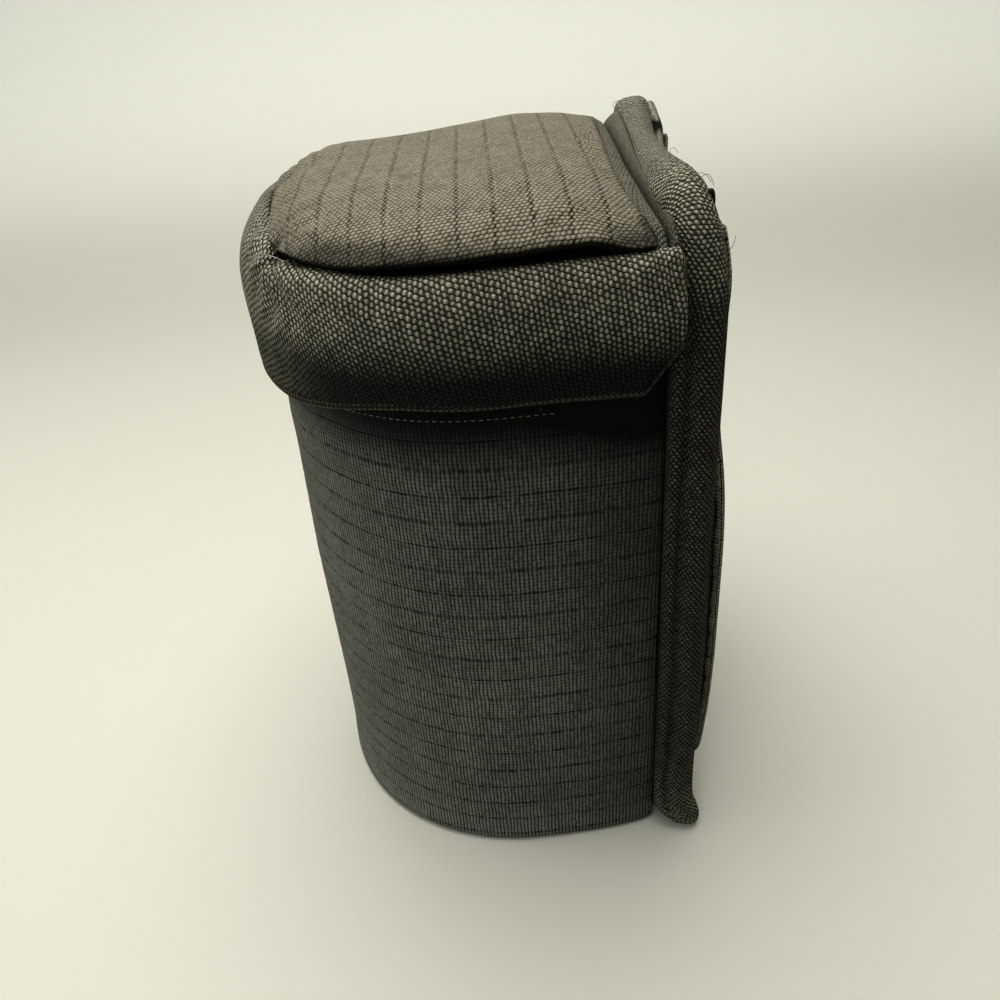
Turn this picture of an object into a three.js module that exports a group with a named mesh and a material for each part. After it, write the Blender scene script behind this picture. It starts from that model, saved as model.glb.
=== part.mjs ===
// Padded lens pouch: a round-fronted wrap with a flat padded back panel, a hinged cap lid with a
// puffy skirt, and a belt strap on the back. Millimetres, +Z up, the round front faces -Y, the
// back panel is at +Y, and the origin is at the middle of the bounding box's underside.
import * as THREE from 'three';

// ---- driving dimensions ---------------------------------------------------------------------
const Y0 = 1.44;            // Y of the round front's axis (centres the bounding box)
const R = 44.7;             // outside radius of the wrap, and its half width at the axis
const TAPER = 2.9;          // how much the wrap narrows each side on its way to the back panel
const BACK_Y = 31.0;        // where the wrap's ends meet the back panel, from the axis
const GAP = 0.3;            // clearance between neighbouring pieces
const CLOTH = 0.9;          // outer fabric
const FOAM = 3.8;           // wall foam
const LINE = 0.6;           // lining
const WRAP_TOP = 137.6;     // top edge of the wrap under its binding
const NECK = 0.7;           // the wrap is a little narrower under the lid's skirt
const MOUTH_TOP = 140.3;    // top of the mouth binding
const PANEL_HALF = 43.7;    // half width of the back panel over its binding
const PANEL_TOP = 152.9;    // height of the back panel's two ears
const PANEL_DIP = 1.3;      // how far the panel's top edge dips between the ears
const PANEL_RT = 10.0;      // corner radius at the top
const PANEL_RB = 4.5;       // corner radius at the bottom
const SEAM_Z = 143.7;       // seam between the lid's top and its skirt
const SEAM_FRONT = 1.2;     // the seam rises this much to the front
const FRONT_IN = 4.6;       // and is drawn in this much at the front
const TOP_Z = 154.8;        // highest point of the lid's padded top, towards its rear
const TOP_FALL = 2.6;       // the top is this much lower at the front
const HINGE_RISE = 5.6;     // the hinge seam arches this much above its ends
const SKIRT_TAPER = 0.6;    // the skirt hardly narrows to the back
const HEM_SIDE = 119.8;     // hem height at the sides
const HEM_DROP = 3.6;       // the hem hangs this much lower at the front
const HEM_CUT = 9.4;        // the hem's rear corners are cut up by this much
const SKIRT_IN = 1.4;       // skirt lining stands this far outside R
const SKIRT_OUT = 5.0;      // most that the skirt's outside bulges beyond R
const STRAP_TOP = 146.6;    // the belt strap's fold at the top of the panel
const STRAP_LOW = 13.0;     // the belt strap's rounded lower end
const STRAP_HALF_TOP = 38.0;
const STRAP_HALF_LOW = 34.5;
const STRAP_CLEAR = 0.35;   // the strap's inner face stands this far behind the panel's binding
const STRAP_BOW = 1.9;      // how much further the strap bows away at half height

// ---- small geometry kit ---------------------------------------------------------------------
const clamp = (v, a, b) => Math.min(b, Math.max(a, v));
const smooth = (v) => { const t = clamp(v, 0, 1); return t * t * (3 - 2 * t); };

class Soup {
  constructor() { this.p = []; this.i = []; }
  v(q) { this.p.push(q[0], q[1], q[2]); return this.p.length / 3 - 1; }
  quad(a, b, c, d) { this.i.push(a, b, c, a, c, d); }
  tri(a, b, c) { this.i.push(a, b, c); }
  geometry() {
    let vol = 0;
    const P = this.p, I = this.i;
    for (let k = 0; k < I.length; k += 3) {
      const a = I[k] * 3, b = I[k + 1] * 3, c = I[k + 2] * 3;
      vol += P[a] * (P[b + 1] * P[c + 2] - P[b + 2] * P[c + 1])
        - P[a + 1] * (P[b] * P[c + 2] - P[b + 2] * P[c])
        + P[a + 2] * (P[b] * P[c + 1] - P[b + 1] * P[c]);
    }
    if (vol < 0) for (let k = 0; k < I.length; k += 3) { const t = I[k]; I[k] = I[k + 1]; I[k + 1] = t; }
    const g = new THREE.BufferGeometry();
    g.setAttribute('position', new THREE.Float32BufferAttribute(P, 3));
    g.setIndex(I);
    g.computeVertexNormals();
    return g;
  }
}

// a closed slab between two open grids f(u, v) and g(u, v)
function slab(nu, nv, f, g) {
  const s = new Soup(), A = [], B = [];
  for (let j = 0; j <= nv; j++) {
    A.push([]); B.push([]);
    for (let i = 0; i <= nu; i++) { A[j].push(s.v(f(i / nu, j / nv))); B[j].push(s.v(g(i / nu, j / nv))); }
  }
  for (let j = 0; j < nv; j++) for (let i = 0; i < nu; i++) {
    s.quad(A[j][i], A[j][i + 1], A[j + 1][i + 1], A[j + 1][i]);
    s.quad(B[j][i], B[j + 1][i], B[j + 1][i + 1], B[j][i + 1]);
  }
  for (let i = 0; i < nu; i++) {
    s.quad(A[0][i], B[0][i], B[0][i + 1], A[0][i + 1]);
    s.quad(A[nv][i], A[nv][i + 1], B[nv][i + 1], B[nv][i]);
  }
  for (let j = 0; j < nv; j++) {
    s.quad(A[j][0], A[j + 1][0], B[j + 1][0], B[j][0]);
    s.quad(A[j][nu], B[j][nu], B[j + 1][nu], A[j + 1][nu]);
  }
  return s.geometry();
}

// a closed disc between two stacks of rings; each ring is a function of k, the outline index
function disc(n, top, bottom, ctop, cbottom) {
  const s = new Soup();
  const ring = (f) => { const r = []; for (let k = 0; k < n; k++) r.push(s.v(f(k))); return r; };
  const T = top.map(ring), B = bottom.map(ring);
  const ct = s.v(ctop), cb = s.v(cbottom);
  const join = (a, b, flip) => {
    for (let k = 0; k < n; k++) {
      const m = (k + 1) % n;
      if (flip) s.quad(a[k], b[k], b[m], a[m]); else s.quad(a[k], a[m], b[m], b[k]);
    }
  };
  for (let k = 0; k < n; k++) { const m = (k + 1) % n; s.tri(ct, T[0][m], T[0][k]); s.tri(cb, B[0][k], B[0][m]); }
  for (let r = 0; r + 1 < T.length; r++) join(T[r], T[r + 1], false);
  for (let r = 0; r + 1 < B.length; r++) join(B[r], B[r + 1], true);
  join(T[T.length - 1], B[B.length - 1], false);
  return s.geometry();
}

// a tube closed both ways
function ringTube(n, m, f) {
  const s = new Soup(), V = [];
  for (let i = 0; i < n; i++) { V.push([]); for (let j = 0; j < m; j++) V[i].push(s.v(f(i, j))); }
  for (let i = 0; i < n; i++) for (let j = 0; j < m; j++) {
    const a = (i + 1) % n, b = (j + 1) % m;
    s.quad(V[i][j], V[a][j], V[a][b], V[i][b]);
  }
  return s.geometry();
}

// a bar of one closed section swept along an open line, with flat ends
function bar(n, sec, f) {
  const s = new Soup(), V = [], m = sec.length;
  for (let i = 0; i <= n; i++) { V.push([]); for (let j = 0; j < m; j++) V[i].push(s.v(f(i / n, sec[j]))); }
  for (let i = 0; i < n; i++) for (let j = 0; j < m; j++) {
    const b = (j + 1) % m;
    s.quad(V[i][j], V[i + 1][j], V[i + 1][b], V[i][b]);
  }
  const tris = THREE.ShapeUtils.triangulateShape(sec.map((q) => new THREE.Vector2(q[0], q[1])), []);
  const turn2 = (a, b, c) => (sec[b][0] - sec[a][0]) * (sec[c][1] - sec[a][1]) - (sec[b][1] - sec[a][1]) * (sec[c][0] - sec[a][0]);
  const way = THREE.ShapeUtils.area(sec.map((q) => new THREE.Vector2(q[0], q[1])));
  for (let [a, b, c] of tris) {
    if (turn2(a, b, c) * way < 0) [b, c] = [c, b];
    s.tri(V[0][a], V[0][b], V[0][c]); s.tri(V[n][a], V[n][c], V[n][b]);
  }
  return s.geometry();
}

// ---- plan curves ----------------------------------------------------------------------------
// u runs 0..1 from the right rear end, round the front, to the left rear end
function planU(u, off, taper, rear, front = 0) {
  const side = rear, arc = Math.PI * R, len = 2 * side + arc;
  const s = clamp(u, 0, 1) * len;
  if (s < side) { const y = rear - s; return [R - taper * (y / BACK_Y) ** 2 + off, Y0 + y]; }
  if (s > side + arc) { const y = s - side - arc; return [-(R - taper * (y / BACK_Y) ** 2 + off), Y0 + y]; }
  const a = (s - side) / R;
  return [(R + off) * Math.cos(a), Y0 - (R + off - front) * Math.sin(a)];
}
// u at a given distance (mm, along the wrap) from the middle of the front
const uFront = (d) => 0.5 + d / (2 * BACK_Y + Math.PI * R);

// closed D outline: the U, then straight across the back with small rounded corners
function planD(off, taper, rear, n, corner, front = 0) {
  const out = [];
  const nu = n - 8;
  for (let i = 0; i <= nu; i++) out.push(planU(i / nu, off, taper, rear - corner, front));
  const [xl] = planU(1, off, taper, rear - corner);
  const add = (x, y) => out.push([x, Y0 + y]);
  const c = corner;
  add(xl + c * 0.13, rear - c * 0.5); add(xl + c * 0.5, rear - c * 0.13); add(xl + c * 1.1, rear);
  add(xl * 0.33, rear); add(-xl * 0.33, rear);
  add(-xl - c * 1.1, rear); add(-xl - c * 0.5, rear - c * 0.13); add(-xl - c * 0.13, rear - c * 0.5);
  return out;
}
function plate(off, taper, rear, corner, z0, z1, n = 38) {
  const o = planD(off, taper, rear, n, corner);
  return disc(o.length, [(k) => [o[k][0], o[k][1], z1]], [(k) => [o[k][0], o[k][1], z0]],
    [0, Y0 - 4, z1], [0, Y0 - 4, z0]);
}

// ---- wrap -----------------------------------------------------------------------------------
const neck = (z) => -NECK * smooth((z - 104) / 14);
// bottom edge of the wrap turns under
const turn = (z) => -0.9 * clamp((1.8 - z) / 1.4, 0, 1) ** 2;
function wrap(o1, o0, z0, z1, zs, curved, nu = 32) {
  const Z = zs ?? [z0, z1];
  const zf = (v) => { const k = v * (Z.length - 1), i = Math.min(Z.length - 2, Math.floor(k)); return Z[i] + (Z[i + 1] - Z[i]) * (k - i); };
  const pt = (off) => (u, v) => { const z = zf(v); const [x, y] = planU(u, off + neck(z) + (curved ? turn(z) : 0), TAPER, BACK_Y); return [x, y, z]; };
  return slab(nu, Z.length - 1, pt(o1), pt(o0));
}
const ZW = [0.4, 1.0, 1.8, 60, 104, 118, WRAP_TOP];
const bodyOuter = wrap(0, -CLOTH, 0, 0, ZW, true);
const f1 = -CLOTH - GAP, f0 = f1 - FOAM;
const bodyFoam = wrap(f1, f0, 0, 0, [1.6, 104, 118, WRAP_TOP], false);
const l1 = f0 - GAP, l0 = l1 - LINE;
const bodyLining = wrap(l1, l0, 0, 0, [5.7, 104, 118, WRAP_TOP], false);

// folded binding over the wrap's top edge
const mb1 = -NECK + GAP + 0.7, mb0 = -NECK + GAP, mi0 = -NECK + l0 - GAP, mi1 = mi0 - 0.6;
const mouthSection = [[mb1, 134.6], [mb1, 139.2], [mb1 - 1.2, MOUTH_TOP], [mi1 + 1.2, MOUTH_TOP], [mi1, 139.2], [mi1, 134.6],
  [mi0, 134.6], [mi0, WRAP_TOP + GAP], [mb0, WRAP_TOP + GAP], [mb0, 134.6]];
const mouthBinding = bar(32, mouthSection, (u, q) => { const [x, y] = planU(u, q[0], TAPER, BACK_Y); return [x, y, q[1]]; });

// ---- base -----------------------------------------------------------------------------------
const baseOuter = plate(-2.2, TAPER, BACK_Y, 1.2, 0, 1.0);
const baseFoam = plate(f0 - GAP - 0.2, TAPER, BACK_Y, 1.2, 1.3, 5.3);
const baseLining = plate(l0 - GAP, TAPER, BACK_Y, 1.2, 5.6, 6.2);

// ---- back panel -----------------------------------------------------------------------------
const dip = (x) => PANEL_DIP * smooth((31 - Math.abs(x)) / 22);
function panelOutline(off) {
  // clockwise list of [x, z, nx, nz] at offset 0, then moved along the normal
  const hw = PANEL_HALF, zb = 0.2, P = [];
  const arc = (cx, cz, r, a0, a1, m) => { for (let i = 0; i <= m; i++) { const a = a0 + (a1 - a0) * i / m; P.push([cx + r * Math.cos(a), cz + r * Math.sin(a), Math.cos(a), Math.sin(a)]); } };
  const h = Math.PI / 2;
  arc(hw - PANEL_RB, zb + PANEL_RB, PANEL_RB, -h, 0, 4);
  for (const z of [60, 125, 134]) P.push([hw, z, 1, 0]);
  arc(hw - PANEL_RT, PANEL_TOP - PANEL_RT, PANEL_RT, 0, h, 6);
  for (const x of [24, 16, 8, 0, -8, -16, -24]) P.push([x, PANEL_TOP - dip(x), 0, 1]);
  arc(-hw + PANEL_RT, PANEL_TOP - PANEL_RT, PANEL_RT, h, 2 * h, 6);
  for (const z of [134, 125, 60]) P.push([-hw, z, -1, 0]);
  arc(-hw + PANEL_RB, zb + PANEL_RB, PANEL_RB, 2 * h, 3 * h, 4);
  for (const x of [-18, 0, 18]) P.push([x, zb, 0, -1]);
  // past the corner's centre the inner lip keeps a square corner
  return P.map(([x, z, a, b]) => {
    const low = z < zb + PANEL_RB && a !== 0 && b !== 0, o = low ? Math.max(off, -PANEL_RB + 0.3) : off;
    let qx = x + a * o, qz = z + b * o;
    if (off < -PANEL_RB + 0.3 && z <= zb + PANEL_RB + 1e-6) { const e = PANEL_RB - 0.3 + off; if (a !== 0) qx += Math.sign(a) * e * (low ? 1 : 0); if (b !== 0) qz -= e * (low ? 1 : 0); }
    return [qx, qz];
  });
}
const PY = BACK_Y + 0.45;   // front face of the panel's binding
// the panel thins towards its sewn top edge, more so on the right: y is a depth behind PY
const thin = (x, z) => 1 - (0.27 + 0.3 * smooth((x + 20) / 50)) * Math.pow(clamp((z - 132) / 21, 0, 1.02), 2.1);
const deep = (y, x, z) => Y0 + PY + y * thin(x, z);
// the plates are ladders of full-width rows, so that they can follow the taper and the dip
function panelPlate(off, y0, y1) {
  const w = PANEL_HALF + off, zb = 0.2 - off, zt = PANEL_TOP + off, r = PANEL_RT + off;
  const rows = [[w - 0.4, zb], [w, zb + 0.4], [w, 60], [w, 125], [w, 134]];
  for (const a of [0, 18, 36, 54, 72, 86]) { const q = a * Math.PI / 180; rows.push([w - r + r * Math.cos(q), zt - r + r * Math.sin(q)]); }
  const pt = (y) => (u, v) => {
    const [h, z] = rows[Math.round(v * (rows.length - 1))], x = h * (2 * u - 1);
    const zz = z - dip(x) * smooth((z - 134) / 12);
    return [x, deep(y, x, zz), zz];
  };
  return slab(8, rows.length - 1, pt(y0), pt(y1));
}
const backLining = panelPlate(-4.75, 1.3, 1.9);
const backFoam = panelPlate(-4.75, 2.25, 5.8);
const backBoard = panelPlate(-4.75, 6.15, 7.1);
const backOuter = panelPlate(-4.75, 7.45, 8.3);
const bindSection = [[-7, 0], [-1.3, -0.15], [-0.4, 0.1], [0, 0.9], [-0.5, 2.1], [0, 3.4], [0, 6.4], [-1.0, 8.5], [-2.8, 9.5], [-7, 9.3],
  [-7, 8.7], [-4.4, 8.7], [-4.4, 0.9], [-7, 0.9]];
const bindPaths = bindSection.map((q) => panelOutline(q[0]));
const backBinding = ringTube(bindPaths[0].length, bindSection.length, (i, j) => [bindPaths[j][i][0], deep(bindSection[j][1], bindPaths[j][i][0], bindPaths[j][i][1]), bindPaths[j][i][1]]);

// ---- closure strips -------------------------------------------------------------------------
const patch = (o1, o0, d, z0, z1) => slab(8, 1,
  (u, v) => { const [x, y] = planU(uFront((u - 0.5) * d), o1 - NECK, TAPER, BACK_Y); return [x, y, z0 + (z1 - z0) * v]; },
  (u, v) => { const [x, y] = planU(uFront((u - 0.5) * d), o0 - NECK, TAPER, BACK_Y); return [x, y, z0 + (z1 - z0) * v]; });
const loopStrip = patch(0.8, 0.3, 50, 119, 134);
const hookStrip = patch(NECK + SKIRT_IN - 0.5, NECK + SKIRT_IN - 1.0, 44, 121, 132);

// ---- lid skirt ------------------------------------------------------------------------------
const hemZ = (y) => HEM_SIDE - HEM_DROP * smooth((-14 - y) / 28) + HEM_CUT * clamp((y - 26.2) / 6.4, 0, 1);
// outward bulge of the skirt over its height, at the sides and at the front
const SKIRT_REAR = BACK_Y + 1.8;
const lerpTable = (t, w) => { let k = 0; while (k < t.length - 2 && w > t[k + 1][0]) k++; const [a, p] = t[k], [b, q] = t[k + 1]; return p + (q - p) * (w - a) / (b - a); };
const SIDE = [[0, 2.7], [0.12, 3.5], [0.3, 4.6], [0.5, SKIRT_OUT], [0.72, 4.8], [0.88, 3.8], [1, 2.6]];
const FRONT = [[0, 2.3], [0.12, 2.8], [0.3, 3.2], [0.5, 3.3], [0.72, 2.7], [0.88, 1.0], [1, -1.9]];
const frontness = (u) => smooth((Math.abs(u - 0.5) < 0.345 ? 1 - Math.abs(u - 0.5) / 0.345 : 0) * 1.25);
function skirtXY(u, w, back) {
  const f = frontness(u), o = lerpTable(SIDE, w) * (1 - f) + lerpTable(FRONT, w) * f;
  return planU(u, o - back, SKIRT_TAPER, SKIRT_REAR);
}
const seamZ = (u) => SEAM_Z + SEAM_FRONT * frontness(u);
const hemAt = (u) => hemZ(planU(u, 3, SKIRT_TAPER, SKIRT_REAR)[1] - Y0);
// lo is in mm above the hem, hi is a share of the height at the sides and at the front
function skirt(fo, fi, lo, hi, nv) {
  const pt = (fn) => (u, v) => {
    const z0 = hemAt(u), h = seamZ(u) - z0, f = frontness(u), v0 = lo / h, v1 = hi[0] * (1 - f) + hi[1] * f;
    const w = v0 + (v1 - v0) * v, q = fn(u, w);
    return [q[0], q[1], z0 + h * w + (q[2] ?? 0)];
  };
  return slab(34, nv, pt(fo), pt(fi));
}
// under the drawn-in front the inner layers lie below the outer one as well as inside it
const under = (u, w, d) => { const f = frontness(u) * clamp((w - 0.72) / 0.28, 0, 1); const q = skirtXY(u, w, d * (1 - 0.45 * f)); return [q[0], q[1], -d * 0.8 * f]; };
const flatIn = (d) => (u) => planU(u, SKIRT_IN + d - 0.2 * frontness(u), SKIRT_TAPER, SKIRT_REAR);
const skirtOuter = skirt((u, w) => skirtXY(u, w, 0), (u, w) => under(u, w, 0.6), 2.3, [1, 1], 7);
const skirtFoam = skirt((u, w) => under(u, w, 0.9), flatIn(0.78), 5.5, [0.82, 0.62], 3);
const skirtLining = skirt(flatIn(0.5), flatIn(0), 2.5, [0.82, 0.64], 2);
const hemSection = [[2.9, 1.9], [3.0, 0.9], [2.5, 0.1], [1.9, 0], [1.4, 0.7], [1.4, 1.9]];
const hem = bar(34, hemSection, (u, q) => {
  const [x, y] = planU(u, q[0] - 0.25 * frontness(u), SKIRT_TAPER, SKIRT_REAR);
  return [x, y, hemAt(u) + q[1]];
});

// ---- lid top --------------------------------------------------------------------------------
const LID_REAR = BACK_Y - 2.6;
const LID_CY = -4;
const LID_P = 4.2;          // how square the padded top's shoulders are
const N_LID = 42;
const lidOutline = (off) => planD(off, 1.9, LID_REAR + (off - 2) * 0.15, N_LID, 4, FRONT_IN);
const nLid = lidOutline(0).length;
const arch = (x) => HINGE_RISE * (1 - Math.min(1, (x / 43) ** 2));
// height of the top's sewn edge, which arches over at the hinge
const edgeZ = (x, y) => SEAM_Z + SEAM_FRONT * smooth((-y - 8) / 26) + arch(x) * smooth((y - 20) / 8);
const topAt = (y) => TOP_Z - TOP_FALL * smooth((18 - (y - Y0)) / 50);
function lidPoint(t, off, dz) {
  const o = lidOutline(off);
  return (k) => {
    const x = o[k][0] * t, y = Y0 + LID_CY + (o[k][1] - Y0 - LID_CY) * t;
    const e = edgeZ(o[k][0], o[k][1] - Y0) + 2.4;
    const top = topAt(y);
    return [x, y, (t < 1 ? e + (top - e) * (1 - Math.pow(t, LID_P)) : e - 2.4) + dz];
  };
}
function lidDisc(tops, bottoms, ct, cb) {
  return disc(nLid, tops.map((q) => lidPoint(...q)), bottoms.map((q) => lidPoint(...q)),
    [0, Y0 + LID_CY, topAt(Y0 + LID_CY) + ct], [0, Y0 + LID_CY, topAt(Y0 + LID_CY) + cb]);
}
const ts = [0.4, 0.68, 0.86, 0.96];
const layer = (off, d, shrink = 1) => ts.map((t) => [t, off, d * (t > 0.9 ? shrink : 1)]);
const lidTopOuter = lidDisc([...layer(2.0, 0), [1, 2.3, 1.9], [1, 2.4, 0.6]], [...layer(1.6, -0.8, 1.3), [1, 1.4, 0.6]], 0, -0.8);
const lidTopFoam = lidDisc([...layer(1.0, -1.15, 1.4), [1, 0.9, -0.2]], [...layer(1.0, -4.2, 0.95), [1, 0.5, -1.9]], -1.15, -4.2);
const lidTopLining = lidDisc([...layer(0.2, -4.55, 0.98), [1, 0.2, -2.3]], [...layer(0.2, -5.1, 0.98), [1, 0.2, -2.85]], -4.55, -5.1);

// bound strip along the hinge, between the lid's top and the back panel
const hingeSection = [[-1.0, -0.7], [-0.2, -1.0], [0.7, -0.8], [1.0, 0], [0.7, 0.9], [-0.1, 1.2], [-0.9, 0.8], [-1.1, 0]];
const hingeTape = bar(18, hingeSection, (u, q) => {
  const x = (u - 0.5) * 2 * 41;
  return [x, Y0 + BACK_Y - 1.25 + q[0], SEAM_Z + 1.6 + arch(x) + q[1]];
});

// ---- belt strap -----------------------------------------------------------------------------
const halfAt = (w) => {
  const z = STRAP_LOW + (STRAP_TOP - STRAP_LOW) * w;
  const h = STRAP_HALF_LOW + (STRAP_HALF_TOP - STRAP_HALF_LOW) * smooth((z - 110) / 30);
  const r = 16, d = z - STRAP_LOW;
  return d < r ? h - r + Math.sqrt(Math.max(r * r - (r - d) ** 2, 0)) : h;
};
// the strap lies close along the panel's thinned top and bows away below; its far side hangs looser
const strapY = (x, z) => deep(9.6, x, z) + STRAP_CLEAR
  + STRAP_BOW * Math.sin(Math.PI * clamp((z - STRAP_LOW) / 100, 0, 1)) + 1.5 * smooth((z - 110) / 30) * smooth((24 - x) / 56);
const WV = [0.004, 0.02, 0.05, 0.09, 0.13, 0.3, 0.5, 0.7, 0.83, 0.92, 1];
const wOf = (v) => { const k = v * (WV.length - 1), i = Math.min(WV.length - 2, Math.floor(k)); return WV[i] + (WV[i + 1] - WV[i]) * (k - i); };
function strapLayer(d0, d1, inset, wLo = 0, wHi = 1) {
  const pt = (d) => (u, v) => {
    const w = wLo + (wHi - wLo) * wOf(v);
    const x = (u - 0.5) * 2 * (halfAt(w) - inset), z = STRAP_LOW + (STRAP_TOP - STRAP_LOW) * w;
    return [x, strapY(x, z) + d, z];
  };
  return slab(6, WV.length - 1, pt(d0), pt(d1));
}
const strapLining = strapLayer(0, 0.7, 1.2, 0.02, 0.985);
const strapOuter = strapLayer(1.0, 1.9, 0);
// folded top end that is sewn to the panel
const foldSection = [[0.05, -2.2], [1.9, -2.2], [2.3, -0.6], [2.1, 1.0], [1.3, 1.6], [0.3, 1.2], [0, -0.6]];
const strapFold = bar(10, foldSection, (u, q) => { const x = (u - 0.5) * 2 * STRAP_HALF_TOP, z = STRAP_TOP + 2.5 + q[1]; return [x, strapY(x, z) + q[0], z]; });
// square of loop cloth on the panel that the strap's lower end closes on
const CATCH = Y0 + PY + 8.3 + GAP;
const catchLow = slab(4, 2, (u, v) => [(u - 0.5) * 50, CATCH, 22 + 30 * v], (u, v) => [(u - 0.5) * 50, CATCH + 0.6, 22 + 30 * v]);
const hookLow = slab(4, 2,
  (u, v) => { const x = (u - 0.5) * 46, z = 23 + 27 * v; return [x, strapY(x, z) - GAP, z]; },
  (u, v) => [(u - 0.5) * 46, CATCH + 0.6 + GAP, 23 + 27 * v]);

// ---- colours and assembly -------------------------------------------------------------------
const mat = (hex, rough) => new THREE.MeshStandardMaterial({ color: hex, roughness: rough, metalness: 0 });
const group = new THREE.Group();
group.name = 'lens_pouch';
const add = (name, geometry, hex, rough = 0.9) => { const m = new THREE.Mesh(geometry, mat(hex, rough)); m.name = name; group.add(m); };
const RIP = 0x4a4a44, BIAS = 0x44463f, FOAMC = 0x2f3134, LIN = 0x3a3d40, BLACK = 0x161616;

add('body_outer', bodyOuter, RIP);
add('body_foam', bodyFoam, FOAMC);
add('body_lining', bodyLining, LIN);
add('mouth_binding', mouthBinding, BIAS);
add('base_outer', baseOuter, RIP);
add('base_foam', baseFoam, FOAMC);
add('base_lining', baseLining, LIN);
add('back_lining', backLining, LIN);
add('back_foam', backFoam, FOAMC);
add('back_board', backBoard, 0x202224, 0.6);
add('back_outer', backOuter, RIP);
add('back_binding', backBinding, BIAS);
add('closure_loop', loopStrip, BLACK);
add('strap_catch', catchLow, BLACK);
add('strap_fold', strapFold, RIP);

add('lid_top_outer', lidTopOuter, RIP);
add('lid_top_foam', lidTopFoam, FOAMC);
add('lid_top_lining', lidTopLining, LIN);
add('skirt_outer', skirtOuter, BIAS);
add('skirt_foam', skirtFoam, FOAMC);
add('skirt_lining', skirtLining, LIN);
add('skirt_hem', hem, BIAS);
add('closure_hook', hookStrip, BLACK);
add('hinge_tape', hingeTape, 0x55554e);

add('strap_outer', strapOuter, RIP);
add('strap_lining', strapLining, BLACK);
add('strap_hook', hookLow, BLACK);

export default group;
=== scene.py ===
import math

import bmesh
import bpy
import numpy as np
from mathutils import Matrix, Vector


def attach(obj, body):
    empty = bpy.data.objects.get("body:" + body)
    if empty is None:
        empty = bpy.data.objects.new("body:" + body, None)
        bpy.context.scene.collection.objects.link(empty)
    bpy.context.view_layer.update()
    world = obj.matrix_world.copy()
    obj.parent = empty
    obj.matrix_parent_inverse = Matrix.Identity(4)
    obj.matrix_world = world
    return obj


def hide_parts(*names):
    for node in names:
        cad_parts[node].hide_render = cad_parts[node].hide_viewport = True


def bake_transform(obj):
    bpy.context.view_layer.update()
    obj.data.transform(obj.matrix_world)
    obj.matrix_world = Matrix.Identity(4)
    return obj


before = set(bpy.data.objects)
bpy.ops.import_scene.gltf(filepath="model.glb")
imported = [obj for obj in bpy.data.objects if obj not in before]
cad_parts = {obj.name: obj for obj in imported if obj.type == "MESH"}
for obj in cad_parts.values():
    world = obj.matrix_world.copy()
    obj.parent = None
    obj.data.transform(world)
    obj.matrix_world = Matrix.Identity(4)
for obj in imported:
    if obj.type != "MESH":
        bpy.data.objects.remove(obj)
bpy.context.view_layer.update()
MM = 0.001

# ---- camera ---------------------------------------------------------------------------------
cam_data = bpy.data.cameras.new("camera")
cam_data.sensor_width = 36.0
cam_data.lens = 31.51
cam_data.clip_start = 0.01
cam_data.clip_end = 20.0
cam = bpy.data.objects.new("camera", cam_data)
bpy.context.scene.collection.objects.link(cam)
right = Vector((0.0384, 0.9967, -0.0722)).normalized()
forward = Vector((-0.8363, -0.0074, -0.5483)).normalized()
upward = right.cross(forward).normalized()
right = forward.cross(upward).normalized()
m = Matrix((right, upward, -forward)).transposed().to_4x4()
m.translation = Vector((0.17854, 0.00305, 0.188))
cam.matrix_world = m
bpy.context.scene.camera = cam

# ---- dimensions, in millimetres -------------------------------------------------------------
Y0, R, TAPER, BACK_Y = 1.44, 44.7, 2.9, 31.0
CLOTH, FOAM, LINE, GAP = 0.9, 3.8, 0.6, 0.3
WRAP_TOP, NECK, MOUTH_TOP = 137.6, 0.7, 140.3
PANEL_HALF, PANEL_TOP, PANEL_DIP, PANEL_RT, PANEL_RB = 43.7, 152.9, 1.3, 10.0, 4.5
SEAM_Z, SEAM_FRONT, FRONT_IN = 143.7, 1.2, 4.6
TOP_Z, TOP_FALL, HINGE_RISE = 154.8, 2.6, 5.6
SKIRT_TAPER, SKIRT_IN = 0.6, 1.4
HEM_SIDE, HEM_DROP, HEM_CUT = 119.8, 3.6, 9.4
STRAP_TOP, STRAP_LOW, STRAP_HALF_TOP, STRAP_HALF_LOW = 146.6, 13.0, 38.0, 34.5
STRAP_CLEAR, STRAP_BOW = 0.35, 1.9
SKIRT_REAR = BACK_Y + 1.8
LID_REAR, LID_CY, LID_P = BACK_Y - 2.6, -4.0, 4.2
PY = BACK_Y + 0.45
F1 = -CLOTH - GAP
F0 = F1 - FOAM
L1 = F0 - GAP
L0 = L1 - LINE
rng = np.random.default_rng(7)


def smooth(v):
    t = np.clip(v, 0.0, 1.0)
    return t * t * (3 - 2 * t)


def plan_u(u, off, taper=TAPER, rear=BACK_Y, front=0.0):
    """A point of the U-shaped plan: u runs 0..1 from the right rear end round the front."""
    u = np.clip(u, 0, 1)
    arc = math.pi * R
    s = u * (2 * rear + arc)
    ya, yb, a = rear - s, s - rear - arc, (s - rear) / R
    on_a, on_b = s < rear, s > rear + arc
    yy = np.where(on_a, ya, np.where(on_b, yb, 0.0))
    xs = R - taper * (yy / BACK_Y) ** 2 + off
    x = np.where(on_a, xs, np.where(on_b, -xs, (R + off) * np.cos(a)))
    y = np.where(on_a | on_b, Y0 + yy, Y0 - (R + off - front) * np.sin(a))
    return x, y


def arc_mm(u, rear=BACK_Y):
    return (u - 0.5) * (2 * rear + math.pi * R)


def neck(z):
    return -NECK * smooth((z - 104) / 14)


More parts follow.
